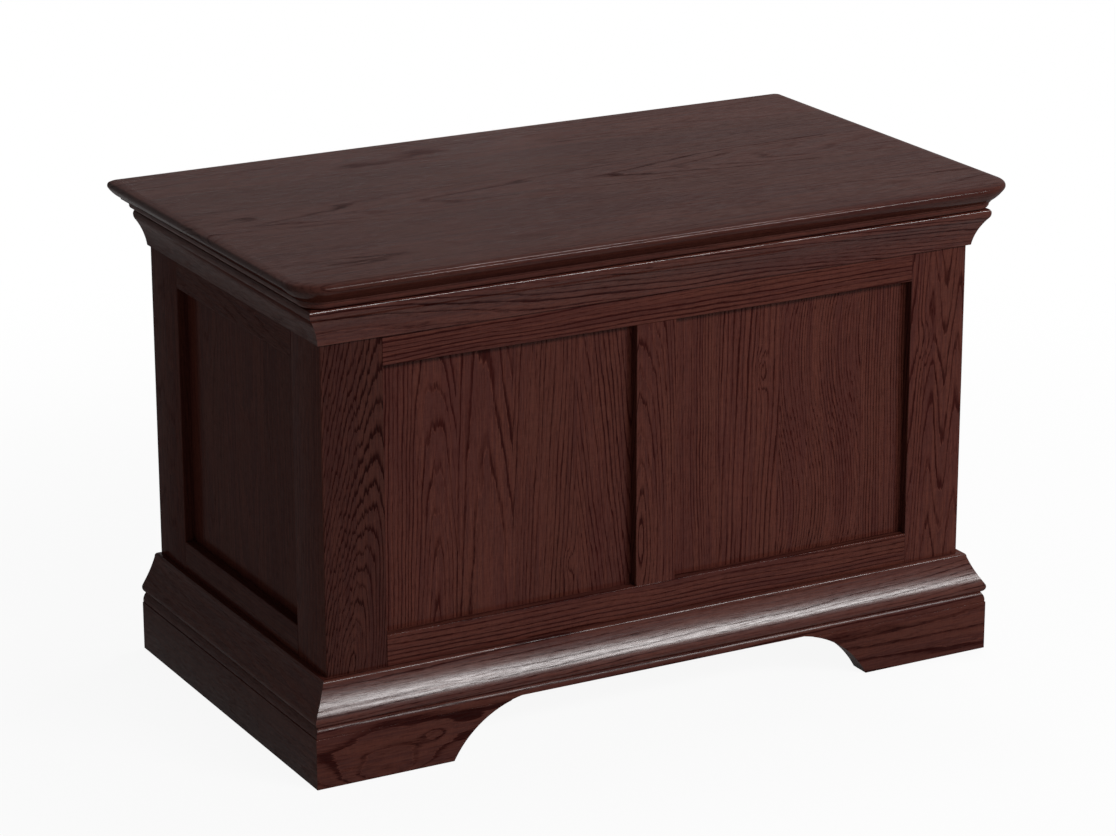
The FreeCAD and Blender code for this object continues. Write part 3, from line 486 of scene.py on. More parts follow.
@dataclass(frozen=True)
class Oak:
    """Oak with its rings, pores and stain under a coat of varnish.

    The patterns are noise. wander and wobble say how far the rings run off, sway_turns how fast they swing
    along the grain, tooth_length how deep the teeth of their edges are. fray and unevenness are in rings.
    early_wood is how open the pores are from the start of a ring to its end. Shares and levels scale how much
    each pattern shows in the pores, the stain, the tone and the gloss.
    """

    name: str
    wood: Colour
    late_wood: Colour
    pores: Colour
    roughness: float
    specular: float
    coat: float
    coat_roughness: float

    drift_pattern: Pattern = Pattern(0.16, 0.34, detail=1.0)
    wobble_pattern: Pattern = Pattern(0.022, 0.09, place=11.0)
    tooth_pattern: Pattern = Pattern(0.0023, 0.060, place=2.0, roughness=0.6)
    fray_pattern: Pattern = Pattern(0.0014, 0.030, place=3.0, detail=1.0)
    uneven_pattern: Pattern = Pattern(0.030, 0.5, place=4.0)
    wander: float = 0.010
    wobble: float = 0.0024
    sway_turns: float = 13.0
    tooth_length: float = 0.022
    fray: float = 0.16
    unevenness: float = 2.4

    vessel_pattern: Pattern = Pattern(0.0011, 0.012, place=6.0, roughness=0.6)
    strength_pattern: Pattern = Pattern(0.03, 0.12, place=8.0, detail=1.0)
    early_wood: Stops = ((0.0, 0.0), (0.06, 0.9), (0.17, 1.0), (0.30, 0.5), (0.50, 0.18), (0.90, 0.0))
    vessel_rise: tuple[float, float] = (-0.02, 0.15)
    vessel_share: float = 0.4
    loose_vessels: float = 0.36
    strength: float = 0.58
    strength_spread: float = 1.2
    ring_spread: float = 0.62
    pore_depth: float = 0.00015

    cloud_pattern: Pattern = Pattern(0.035, 0.22, place=15.0, detail=3.0)
    # Cross-grain mottling painted into the colour level: painted sheen that stands for the shimmer of the
    # wood.
    painted_sheen_pattern: Pattern = Pattern(0.010, 0.0022, place=17.0)
    streak_pattern: Pattern = Pattern(0.0024, 0.16, place=19.0)
    late_share: float = 0.2
    late_in_clouds: float = 2.2
    late_in_streaks: float = 2.4
    late_in_ring: float = 0.5
    cloud_tone: float = 0.9
    # How strongly the painted sheen shows in the colour level.
    painted_sheen_tone: float = 0.3
    streak_tone: float = 0.6

    gloss_pattern: Pattern = Pattern(0.0007, 0.020, place=13.0, roughness=0.7)
    gloss_spread: float = 2.2
    pore_dullness: float = 0.7
    cloud_roughness: float = 0.12
    pore_roughness: float = 0.14

    def rings(self, shader: Shader, grain: bpy.types.NodeSocket, stave: Stave, seed: float) -> Value:
        """Count of rings from the heart of the log.

        Args:
            shader: the material.
            grain: coordinates along and across the grain.
            stave: how the stave lay in its log.
            seed: place of the noise.

        Returns:
            The count, which grows by 1 from ring to ring.
        """
        across, into, along = shader.axes(grain)
        drift = shader.noise(grain, self.drift_pattern, seed)
        bumps = shader.noise(grain, self.wobble_pattern, seed)
        sideways = across - along * stave.slant + drift * (2 * self.wander) - stave.heart
        inwards = into + along * (along * stave.bend + stave.lean) + stave.depth + drift * self.wander
        if stave.sway:
            sideways = sideways + shader.maths("SINE", along * self.sway_turns) * stave.sway
        if stave.ripple:
            waves = shader.maths("COSINE", (across - stave.heart) * (2 * math.pi / stave.ripple_width))
            inwards = inwards + waves * stave.ripple
        for eye in stave.eyes:
            away = (across - eye.across) / eye.half_width
            beyond = (along - eye.along) / eye.half_length
            falloff = shader.maths("EXPONENT", (away * away + beyond * beyond) * -1.0)
            bumps = bumps + falloff * (eye.rise / (2 * self.wobble))
        radius = (sideways * sideways + inwards * inwards).root()
        return (radius + bumps * (2 * self.wobble)) / stave.ring

    def join_staves(
        self, shader: Shader, grain: bpy.types.NodeSocket, staves: Sequence[Stave], seed: float
    ) -> tuple[Value, Number, Number]:
        """Rings, tone and strength of figure of a board glued up from staves.

        Args:
            shader: the material.
            grain: coordinates along and across the grain.
            staves: the staves, from the lowest place across the board to the highest.
            seed: place of the noise.

        Returns:
            The count of rings, the tone and the strength of the figure.
        """
        across = shader.axes(grain)[0]
        count = self.rings(shader, grain, staves[0], seed)
        tone: Number = staves[0].tone
        figure: Number = staves[0].figure
        for before, stave in zip(staves, staves[1:]):
            seed += STAVE_SEED_STEP
            beyond = across.over(before.until)
            own = self.rings(shader, grain, stave, seed)
            count = count + beyond * (own - count)
            tone = beyond * (stave.tone - tone) + tone
            figure = beyond * (stave.figure - figure) + figure
        return count, tone, figure

    def open_pores(
        self, shader: Shader, grain: bpy.types.NodeSocket, count: Value, figure: Number, seed: float
    ) -> Value:
        """How dark the pores make the wood.

        Args:
            shader: the material.
            grain: coordinates along and across the grain.
            count: count of rings.
            figure: strength of the figure.
            seed: place of the noise.

        Returns:
            A number from 0 in plain wood to 1 in a row of open pores.
        """
        early = shader.ramp(count.fraction(), self.early_wood)
        vessels = shader.noise(grain, self.vessel_pattern, seed).rise(*self.vessel_rise)
        strength = shader.noise(grain, self.strength_pattern, seed) * self.strength_spread + self.strength
        strength = (strength + shader.dice(count.whole() + seed) * self.ring_spread) * figure
        rows = (early * (vessels * self.vessel_share + (1 - self.vessel_share)) * strength).rise(0.0, 1.0)
        return shader.maths("MAXIMUM", rows, vessels * self.loose_vessels)

    def dress(self, node: str, timber: Timber) -> bpy.types.Material:
        """Make the material of one board.

        Args:
            node: the board's node.
            timber: the wood that it is made of.

        Returns:
            The material.
        """
        shader = Shader.of_material(f"{self.name}_{node}")
        turn = timber.grain.value
        seed = timber.seed
        grain = shader.mapped(shader.place(), move=-(Euler(turn).to_matrix() @ timber.centre), turn=turn)
        toothed = shader.slid(grain, shader.noise(grain, self.tooth_pattern, seed) * self.tooth_length)
        count, tone, figure = self.join_staves(shader, toothed, timber.staves, seed)
        fray = shader.noise(grain, self.fray_pattern, seed)
        uneven = shader.noise(grain, self.uneven_pattern, seed)
        count = count + fray * self.fray + uneven * self.unevenness
        dark = self.open_pores(shader, grain, count, figure, seed)
        cloud = shader.noise(grain, self.cloud_pattern, seed)
        # Painted sheen: cross-grain mottling in the colour level.
        painted_sheen = shader.noise(grain, self.painted_sheen_pattern, seed)
        streaks = shader.noise(grain, self.streak_pattern, seed)
        late = cloud * self.late_in_clouds + streaks * self.late_in_streaks
        late = (late + count.fraction() * self.late_in_ring + self.late_share).rise(0.0, 1.0)
        stained = shader.blend(dark, shader.blend(late, self.wood, self.late_wood), self.pores)
        # Colour level: clouds and streaks are the wood's own, the cross-grain mottling is painted sheen, and
        # the staves' level holds painted shade on the front's left stile and the lid board.
        level = (cloud * self.cloud_tone + painted_sheen * self.painted_sheen_tone + streaks * self.streak_tone + 1.0) * tone
        gloss = shader.noise(grain, self.gloss_pattern, seed) * self.gloss_spread + 1.0
        surface = shader.node(
            "ShaderNodeBsdfPrincipled",
            inputs={
                "Base Color": shader.dimmed(stained, level),
                "Roughness": cloud * self.cloud_roughness + dark * self.pore_roughness + self.roughness,
                "Specular IOR Level": self.specular,
                "Coat Weight": (gloss - dark * self.pore_dullness) * self.coat,
                "Coat Roughness": self.coat_roughness,
                "Normal": shader.relief(1.0 - dark, self.pore_depth),
            },
        )
        return shader.close(surface.outputs[0])


@dataclass(frozen=True)
class Brass:
    """Brushed brass, a little tarnished."""

    bright: Colour = (0.56, 0.385, 0.165)
    dull: Colour = (0.27, 0.18, 0.078)
    roughness: float = 0.28
    tarnish_roughness: float = 0.18
    scratch_roughness: float = 0.08
    scratch_depth: float = 0.00002
    tarnish_pattern: Pattern = Pattern(0.009, 0.009, place=3.0, detail=4.0, roughness=0.6)
    tarnish_rise: tuple[float, float] = (-0.18, 0.2)
    scratch_pattern: Pattern = Pattern(0.0004, 0.02, place=7.0, detail=3.0)
    scratch_rise: tuple[float, float] = (-0.2, 0.25)

    def dress(self) -> bpy.types.Material:
        """Make the material.

        Returns:
            The material.
        """
        shader = Shader.of_material("brass")
        place = shader.place()
        bright = shader.noise(place, self.tarnish_pattern).rise(*self.tarnish_rise)
        scratches = shader.noise(place, self.scratch_pattern).rise(*self.scratch_rise)
        rough = (1.0 - bright) * self.tarnish_roughness + scratches * self.scratch_roughness
        surface = shader.node(
            "ShaderNodeBsdfPrincipled",
            inputs={
                "Base Color": shader.blend(bright, self.dull, self.bright),
                "Metallic": 1.0,
                "Roughness": rough + self.roughness,
                "Normal": shader.relief(scratches, self.scratch_depth),
            },
        )
        return shader.close(surface.outputs[0])


@dataclass(frozen=True)
class Felt:
    """Dark felt of the pads that the lid lands on."""

    dark: Colour = (0.012, 0.008, 0.007)
    light: Colour = (0.045, 0.032, 0.028)
    roughness: float = 0.85
    fibre_roughness: float = 0.1
    fibre_depth: float = 0.0003
    fibre_pattern: Pattern = Pattern(0.0006, 0.0006, place=1.0, detail=4.0)
    fibre_rise: tuple[float, float] = (-0.25, 0.25)

    def dress(self) -> bpy.types.Material:
        """Make the material.

        Returns:
            The material.
        """
        shader = Shader.of_material("felt")
        fibres = shader.noise(shader.place(), self.fibre_pattern).rise(*self.fibre_rise)
        surface = shader.node(
            "ShaderNodeBsdfPrincipled",
            inputs={
                "Base Color": shader.blend(fibres, self.dark, self.light),
                "Roughness": fibres * self.fibre_roughness + self.roughness,
                "Normal": shader.relief(fibres, self.fibre_depth),
            },
        )
        return shader.close(surface.outputs[0])


STAINED_OAK = Oak(
    name="stained_oak",
    wood=(0.0645, 0.0182, 0.0124),
    late_wood=(0.0355, 0.0094, 0.0073),
    pores=(0.0165, 0.0030, 0.0025),
    roughness=0.5,
    specular=0.0,
    coat=0.13,
    coat_roughness=0.20,
)
THINLY_VARNISHED_OAK = replace(STAINED_OAK, coat=0.045)
TRIM_OAK = replace(STAINED_OAK, coat=0.09)
FOOT_OAK = replace(STAINED_OAK, tooth_length=0.011)
BASE_OAK = replace(STAINED_OAK, coat=0.30)
CORNICE_OAK = replace(STAINED_OAK, coat=0.26, coat_roughness=0.12)
LID_OAK = replace(STAINED_OAK, coat=0.14, coat_roughness=0.12)
PLAIN_OAK = Oak(
    name="plain_oak",
    wood=(0.44, 0.27, 0.135),
    late_wood=(0.35, 0.205, 0.095),
    pores=(0.17, 0.085, 0.036),
    roughness=0.62,
    specular=0.3,
    coat=0.0,
    coat_roughness=0.4,
)


# The boards' figure, piece by piece

FIGURES: dict[str, tuple[Stave, ...]] = {
    # The left stile is set much darker than the other boards: painted shade, standing for the lesser light at
    # the chest's left end.
    "front_left_stile": (
        Stave(heart=0.016, slant=0.13, depth=0.045, lean=0.15, bend=-0.20, ring=0.0036, tone=0.60,
              figure=1.7),
    ),
    "front_right_stile": (
        Stave(heart=0.012, depth=0.085, lean=0.085, ring=0.0050, ripple=0.0065, ripple_width=0.046, tone=1.0,
              figure=1.35, eyes=(Eye(-0.015, 0.085, 0.011, 0.026, 0.010),)),
    ),
    "front_muntin": (Stave(heart=-0.021, depth=0.026, lean=0.13, ring=0.0042, tone=0.96, figure=1.3),),
    "front_left_panel": (
        Stave(until=-0.062, heart=-0.086, depth=0.022, lean=0.087, ring=0.0048, tone=0.95, figure=1.45),
        Stave(until=0.006, heart=-0.030, depth=0.070, lean=0.030, ring=0.0052, tone=0.95, figure=1.3),
        Stave(until=0.086, heart=0.135, depth=0.050, lean=0.03, ring=0.0046, slant=0.03, tone=0.90,
              figure=1.15, eyes=(Eye(0.077, -0.113, 0.006, 0.013, -0.007),)),
        Stave(heart=0.215, depth=0.045, lean=-0.06, ring=0.0052, slant=-0.09, tone=0.93, figure=1.4),
    ),
    "front_right_panel": (
        Stave(until=-0.090, heart=-0.30, depth=0.030, lean=0.02, ring=0.0036, tone=0.99, figure=1.35),
        Stave(until=-0.012, heart=-0.20, depth=0.060, lean=0.03, ring=0.0066, slant=0.05, tone=1.02,
              figure=1.4, eyes=(Eye(-0.036, 0.070, 0.008, 0.020, 0.015),)),
        Stave(until=0.096, heart=0.26, depth=0.040, lean=0.02, ring=0.0038, sway=0.022, slant=0.09, tone=1.0,
              figure=1.4),
        Stave(heart=-0.40, depth=0.020, lean=0.0, ring=0.0036, tone=1.0, figure=1.35),
    ),
    "front_top_rail": (Stave(heart=-0.075, depth=0.030, lean=0.012, ring=0.0054, tone=0.96, figure=1.8),),
    "front_bottom_rail": (Stave(heart=0.085, depth=0.035, lean=-0.010, ring=0.0052, tone=0.96, figure=1.6),),
    "cornice_front": (
        Stave(heart=-0.06, slant=0.06, depth=0.030, lean=0.02, ring=0.0046, tone=0.94, figure=1.5),
    ),
    "base_moulding_front": (
        Stave(heart=0.07, slant=-0.03, depth=0.025, lean=0.02, ring=0.0046, tone=0.95, figure=1.3),
    ),
    "plinth_front": (
        Stave(heart=0.004, depth=0.060, lean=0.012, ring=0.0062, tone=0.85, figure=1.2,
              eyes=(Eye(-0.030, 0.350, 0.030, 0.060, -0.020), Eye(0.002, 0.290, 0.010, 0.018, -0.006))),
    ),
    # The lid board's staves are set darker than the front's boards. Their differences from each other are the
    # boards' own; their low overall level is painted shade that takes back part of the lamps' light on the
    # top.
    "lid_top": (
        Stave(until=-0.155, heart=-0.19, depth=0.06, lean=0.03, ring=0.0050, tone=0.70, figure=0.7),
        Stave(until=-0.050, heart=-0.02, depth=0.05, lean=-0.02, ring=0.0048, tone=0.62, figure=0.6),
        Stave(until=0.045, heart=0.0, depth=0.07, lean=0.05, ring=0.0052, tone=0.68, figure=0.9),
        Stave(until=0.150, heart=0.20, depth=0.06, lean=0.02, ring=0.0048, tone=0.64, figure=0.6),
        Stave(heart=0.19, depth=0.05, lean=-0.035, ring=0.0052, tone=0.67, figure=0.7),
    ),
}


@dataclass(frozen=True)
class StaveDraw:
    """Ranges that the staves of a board without a figure of its own are drawn from.

    heart is how far the log's heart lies from the stave's middle, in widths of the stave. The others are as in
    Stave, and lean goes either way.
    """

    heart: tuple[float, float] = (-0.9, 0.9)
    slant: tuple[float, float] = (-0.03, 0.03)
    depth: tuple[float, float] = (0.045, 0.11)
    lean: tuple[float, float] = (0.03, 0.09)
    ring: tuple[float, float] = (0.0044, 0.0054)
    tone: tuple[float, float] = (0.82, 1.0)
    figure: tuple[float, float] = (0.4, 0.7)

    def draw(self, dice: random.Random, board_width: float, stave_width: float) -> tuple[Stave, ...]:
        """Draw the staves of one board.

        Args:
            dice: the random numbers.
            board_width: the board's width.
            stave_width: about how wide its staves are.

        Returns:
            The staves, from the lowest place across the board to the highest.
        """
        count = max(1, round(board_width / stave_width))
        step = board_width / count
        staves = []
        for index in range(count):
            middle = -board_width / 2 + (index + 0.5) * step
            staves.append(
                Stave(
                    until=-board_width / 2 + (index + 1) * step,
                    heart=middle + dice.uniform(*self.heart) * step,
                    slant=dice.uniform(*self.slant),
                    depth=dice.uniform(*self.depth),
                    lean=dice.choice((-1, 1)) * dice.uniform(*self.lean),
                    ring=dice.uniform(*self.ring),
                    tone=dice.uniform(*self.tone),
                    figure=dice.uniform(*self.figure),
                )
            )
        return tuple(staves)


def grain_of(node: str) -> Grain:
    """Which way the grain of a wooden node runs.

    Args:
        node: the node's name.

    Returns:
        The direction: up in the panels of the walls, and otherwise along the longest side of the board.
    """
    low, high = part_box(node)
    size = high - low
    if "panel" in node and "floor" not in node:
        return Grain.UP_ON_FRONT if size.x > size.y else Grain.UP_ON_SIDE
    longest = max(range(3), key=lambda axis: size[axis])
    thinnest = min(range(3), key=lambda axis: size[axis])
    if longest == 2:
        return Grain.UP_ON_FRONT if thinnest == 1 else Grain.UP_ON_SIDE
    if longest == 0:
        return Grain.LONG_FLAT if thinnest == 2 else Grain.LONG_ON_FRONT
    return Grain.DEEP_FLAT if thinnest == 2 else Grain.LONG_ON_SIDE


@dataclass(frozen=True)
class Stock:
    """What the pieces are finished with: timber of its own for each board, one brass and one felt."""

    timbers: dict[str, Timber]
    brass: bpy.types.Material
    felt: bpy.types.Material

    @classmethod
    def lay_in(cls, nodes: Iterable[str]) -> "Stock":
        """Pick the timber, and make the brass and the felt.

        Args:
            nodes: the names of all nodes. The random numbers are drawn in the order of these names.

        Returns:
            The stock.
        """
        dice = random.Random(DICE_SEED)
        timbers = {}
        for node in sorted(nodes):
            seed = dice.uniform(0.0, SEED_RANGE)
            if not node.startswith(("hinge_", "stay_")) and not node.endswith(("_screws", "_buffers")):
                timbers[node] = cls.pick_timber(node, dice, seed)
        return cls(timbers, Brass().dress(), Felt().dress())

    @staticmethod
    def pick_timber(node: str, dice: random.Random, seed: float) -> Timber:
        """Pick the timber of one board.

        Args:
            node: the board's node.
            dice: the random numbers. The same number of them is drawn whether or not FIGURES has the node.
            seed: the board's own place in the noise.

        Returns:
            The timber.
        """
        low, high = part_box(node)
        grain = grain_of(node)
        size = Euler(grain.value).to_matrix() @ (high - low)
        glued = "panel" in node or node == "lid_top"
        drawn = StaveDraw().draw(dice, abs(size.x), GLUED_WIDTH if glued else SINGLE_WIDTH)
        return Timber((low + high) / 2, grain, FIGURES.get(node, drawn), seed)


# The bench: how wooden pieces are drawn, cut and rounded

def arc(start: Point, end: Point, bow: float, steps: int) -> list[Point]:
    """Points along an arc of a circle.

    Args:
        start: where the arc starts; it isn't among the points given back.
        end: where it ends.
        bow: how far its middle stands to the left of the straight line between them.
        steps: number of straight stretches that stand for it.

    Returns:
        The points, up to and with the end.
    """
    chord = Vector(end) - Vector(start)
    left = Vector((-chord.y, chord.x)).normalized()
    half = chord.length / 2
    radius = (half * half + bow * bow) / (2 * abs(bow))
    opening = 2 * math.atan2(abs(bow), half)
    side = math.copysign(1.0, bow)
    centre = (Vector(start) + Vector(end)) / 2 + left * (bow - side * radius)
    points = []
    for step in range(1, steps + 1):
        angle = opening * (2 * step / steps - 1)
        ahead = chord.normalized() * (radius * math.sin(angle))
        aside = left * (side * radius * math.cos(angle))
        point = centre + ahead + aside
        points.append((point.x, point.y))
    return points


def round_corner(before: Point, corner: Point, after: Point, radius: float, steps: int = 4) -> list[Point]:
    """Points that round a square corner of an outline.

    Args:
        before: a point on the outline before the corner.
        corner: the corner.
        after: a point on the outline behind it.
        radius: the rounding's radius.
        steps: number of straight stretches in it.

    Returns:
        The points that stand in the corner's place.
    """
    back = (Vector(before) - Vector(corner)).normalized()
    ahead = (Vector(after) - Vector(corner)).normalized()
    start = tuple(Vector(corner) + back * radius)
    end = tuple(Vector(corner) + ahead * radius)
    turns_left = back.x * ahead.y - back.y * ahead.x < 0
    bow = radius * QUARTER_BOW
    return [start, *arc(start, end, -bow if turns_left else bow, steps)]


class Workpiece:
    """A piece of wood on the bench, shaped in edit mode."""

    def __init__(self, node: str) -> None:
        """Clear the bench and start with a single point at the origin.

        Args:
            node: the node that the piece will stand for, or a name for a piece of waste.
        """
        self.node = node
        bpy.ops.object.select_all(action="DESELECT")
        bpy.ops.mesh.primitive_plane_add(size=0.001)
        self.object = bpy.context.object
        self.object.name = f"{node}_board"
        bpy.ops.object.mode_set(mode="EDIT")
        bpy.ops.mesh.select_mode(type="VERT")
        bpy.ops.mesh.merge(type="CENTER")

    @property
    def mesh(self) -> bmesh.types.BMesh:
        """The mesh as it is on the bench."""
        return bmesh.from_edit_mesh(self.object.data)

    def draw(self, outline: Sequence[Vector]) -> "Workpiece":
        """Draw a closed outline from point to point and fill it.

        Args:
            outline: its points in order.

        Returns:
            The piece.
        """
        bpy.ops.transform.translate(value=outline[0])
        for start, end in zip(outline, outline[1:]):
            bpy.ops.mesh.extrude_vertices_move(TRANSFORM_OT_translate={"value": end - start})
        bpy.ops.mesh.select_all(action="SELECT")
        bpy.ops.mesh.edge_face_add()
        bpy.ops.mesh.select_mode(type="FACE")
        return self

    def draw_out(self, by: Vector) -> "Workpiece":
        """Draw the selected faces out to a solid.

        Args:
            by: how far and which way.

        Returns:
            The piece.
        """
        bpy.ops.mesh.extrude_region_move(TRANSFORM_OT_translate={"value": by})
        return self

    def draw_tongue(self, by: float) -> "Workpiece":
        """Draw the selected faces out along their normals.

        Args:
            by: how far.

        Returns:
            The piece.
        """
        bpy.ops.mesh.extrude_region_shrink_fatten(
            TRANSFORM_OT_shrink_fatten={"value": by, "use_even_offset": True}
        )
        return self

    def take_in(self, by: float, rise: float) -> "Workpiece":
        """Take the selected face in along its edges and raise it.

        Args:
            by: how far it is taken in.
            rise: how far it moves out along its normal.

        Returns:
            The piece.
        """
        bpy.ops.mesh.inset(thickness=by, depth=rise, use_even_offset=True)
        return self

    def saw(self, at: Vector, waste: Vector) -> "Workpiece":
        """Saw through the piece and drop the waste.

        Args:
            at: a point on the cut.
            waste: points to the side that falls off.

        Returns:
            The piece.
        """
        bpy.ops.mesh.select_all(action="SELECT")
        bpy.ops.mesh.bisect(plane_co=at, plane_no=waste, clear_outer=True, use_fill=True)
        return self

    def mark(self, at: Vector, across: Vector) -> "Workpiece":
        """Score a line round the selected faces, along a plane.

        Args:
            at: a point on the plane.
            across: the plane's normal.

        Returns:
            The piece.
        """
        bpy.ops.mesh.bisect(plane_co=at, plane_no=across)
        return self

    def pick_faces(self, test: Callable[[bmesh.types.BMFace], bool]) -> "Workpiece":
        """Select the faces that pass a test, and nothing else.

        Args:
            test: whether a face is selected.

        Returns:
            The piece.
        """
        bpy.ops.mesh.select_mode(type="FACE")
        bpy.ops.mesh.select_all(action="DESELECT")
        mesh = self.mesh
        mesh.normal_update()
        for face in mesh.faces:
            face.select_set(test(face))
        bmesh.update_edit_mesh(self.object.data)
        return self

    def pick_facing(self, way: Vector, front: float = -math.inf, back: float = math.inf) -> "Workpiece":
        """Select the faces that look one way and lie between two depths.

        Args:
            way: the direction, of length 1.
            front: depth behind which the middle of a face lies.
            back: depth before which it lies.

        Returns:
            The piece.
        """

        def fits(face: bmesh.types.BMFace) -> bool:
            """Whether a face is one of them."""
            return face.normal.dot(way) > FACING and front < face.calc_center_median().y < back

        return self.pick_faces(fits)

    def pick_rim(self, back: float) -> "Workpiece":
        """Select the faces round a panel that lie before a depth.

        Args:
            back: the depth.

        Returns:
            The piece.
        """

        def fits(face: bmesh.types.BMFace) -> bool:
            """Whether a face is one of them."""
            return abs(face.normal.y) < EDGEWISE and face.calc_center_median().y < back

        return self.pick_faces(fits)

    def pick_edges(self, test: Callable[[bmesh.types.BMEdge], bool]) -> "Workpiece":
        """Select the edges that pass a test, and nothing else.

        Args:
            test: whether an edge is selected.

        Returns:
            The piece.
        """
        bpy.ops.mesh.select_mode(type="EDGE")
        bpy.ops.mesh.select_all(action="DESELECT")
        mesh = self.mesh
        mesh.normal_update()
        for edge in mesh.edges:
            edge.select_set(test(edge))
        bmesh.update_edit_mesh(self.object.data)
        return self

    def face_out(self) -> "Workpiece":
        """Turn every face outwards.

        Returns:
            The piece.
        """
        bpy.ops.mesh.select_all(action="SELECT")
        bpy.ops.mesh.normals_make_consistent(inside=False)
        return self

    def round_edges(self, radius: float, segments: int = 3) -> "Workpiece":
        """Round the selected edges."""
        bpy.ops.mesh.bevel(offset=radius, segments=segments, affect="EDGES", clamp_overlap=True)
        return self

    def lift_off(self) -> "Workpiece":
        """Take the piece off the bench."""
        bpy.ops.object.mode_set(mode="OBJECT")
        return self

    def lay_back(self) -> "Workpiece":
        """Lay the piece back on the bench."""
        bpy.ops.object.mode_set(mode="EDIT")
        return self

    def fit(self, turn: float, at: Vector) -> "Workpiece":
        """Take the piece off the bench, turn it about Z and put it in its place.

        Args:
            turn: the turn about Z, in radians.
            at: where the bench's origin comes to lie.

        Returns:
            The piece.
        """
        self.lift_off()
        bpy.ops.object.select_all(action="DESELECT")
        self.object.select_set(True)
        self.object.rotation_euler = (0.0, 0.0, turn)
        self.object.location = at
        bpy.ops.object.transform_apply(location=True, rotation=True, scale=True)
        return self

    def cut_with(self, cutter: "Workpiece") -> "Workpiece":
        """Cut away all that another piece covers, and throw that piece away.

        Args:
            cutter: the other piece, also off the bench.

        Returns:
            The piece.
        """
        bpy.context.view_layer.objects.active = self.object
        modifier = self.object.modifiers.new("cut", "BOOLEAN")
        modifier.operation = "DIFFERENCE"
        modifier.solver = "EXACT"
        modifier.object = cutter.object
        bpy.ops.object.modifier_apply(modifier=modifier.name)
        bpy.data.objects.remove(cutter.object)
        return self

    def hand_over(self, body: str) -> bpy.types.Object:
        """Finish the piece: smooth its round faces and let it stand for its node.

        Args:
            body: the body that it moves with.

        Returns:
            The finished object.
        """
        bpy.ops.object.select_all(action="DESELECT")
        self.object.select_set(True)
        bpy.context.view_layer.objects.active = self.object
        bpy.ops.object.shade_smooth_by_angle(angle=SMOOTH_BELOW)
        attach(self.object, body)
        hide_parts(self.node)
        log.info("%s: made with %d faces", self.node, len(self.object.data.polygons))
        return self.object


@dataclass
class Assembly:
    """Pieces that belong together, by the node that each stands for."""

    pieces: dict[str, bpy.types.Object] = field(default_factory=dict, kw_only=True)

    def keep(self, *starts: str) -> None:
        """Take in the frame's own pieces for nodes that have no new piece.

        Args:
            starts: how the names of their nodes start.
        """
        for node, piece in frame["nodes"].items():
            if node.startswith(starts):
                self.pieces.setdefault(node, piece)

    def finish(self, node: str, material: bpy.types.Material) -> None:
        """Give a piece its finish.

        Args:
            node: the piece's node.
            material: the finish.
        """
        slots = self.pieces[node].data.materials
        slots.clear()
        slots.append(material)
        log.info("%s: finished as %s", node, material.name)

    def varnish(self, node: str, oak: Oak, stock: Stock) -> None:
        """Finish a board in oak of its own timber."""
        self.finish(node, oak.dress(node, stock.timbers[node]))


# The four framed walls

class Joint(Enum):
    """How a board's end meets its neighbour at a corner."""

    MITRE = "mitre"
    REBATE = "rebate"
    SQUARE = "square"


@dataclass(frozen=True)
class Stance:
    """Where a wall stands. On the bench X runs along it as seen from outside, Y inwards and Z up.

    ends names its left and its right stile, and joints says how these meet the next walls.
    """

    name: str
    width: float
    at: Vector
    turn: float
    ends: tuple[str, str]
    joints: tuple[Joint, Joint]


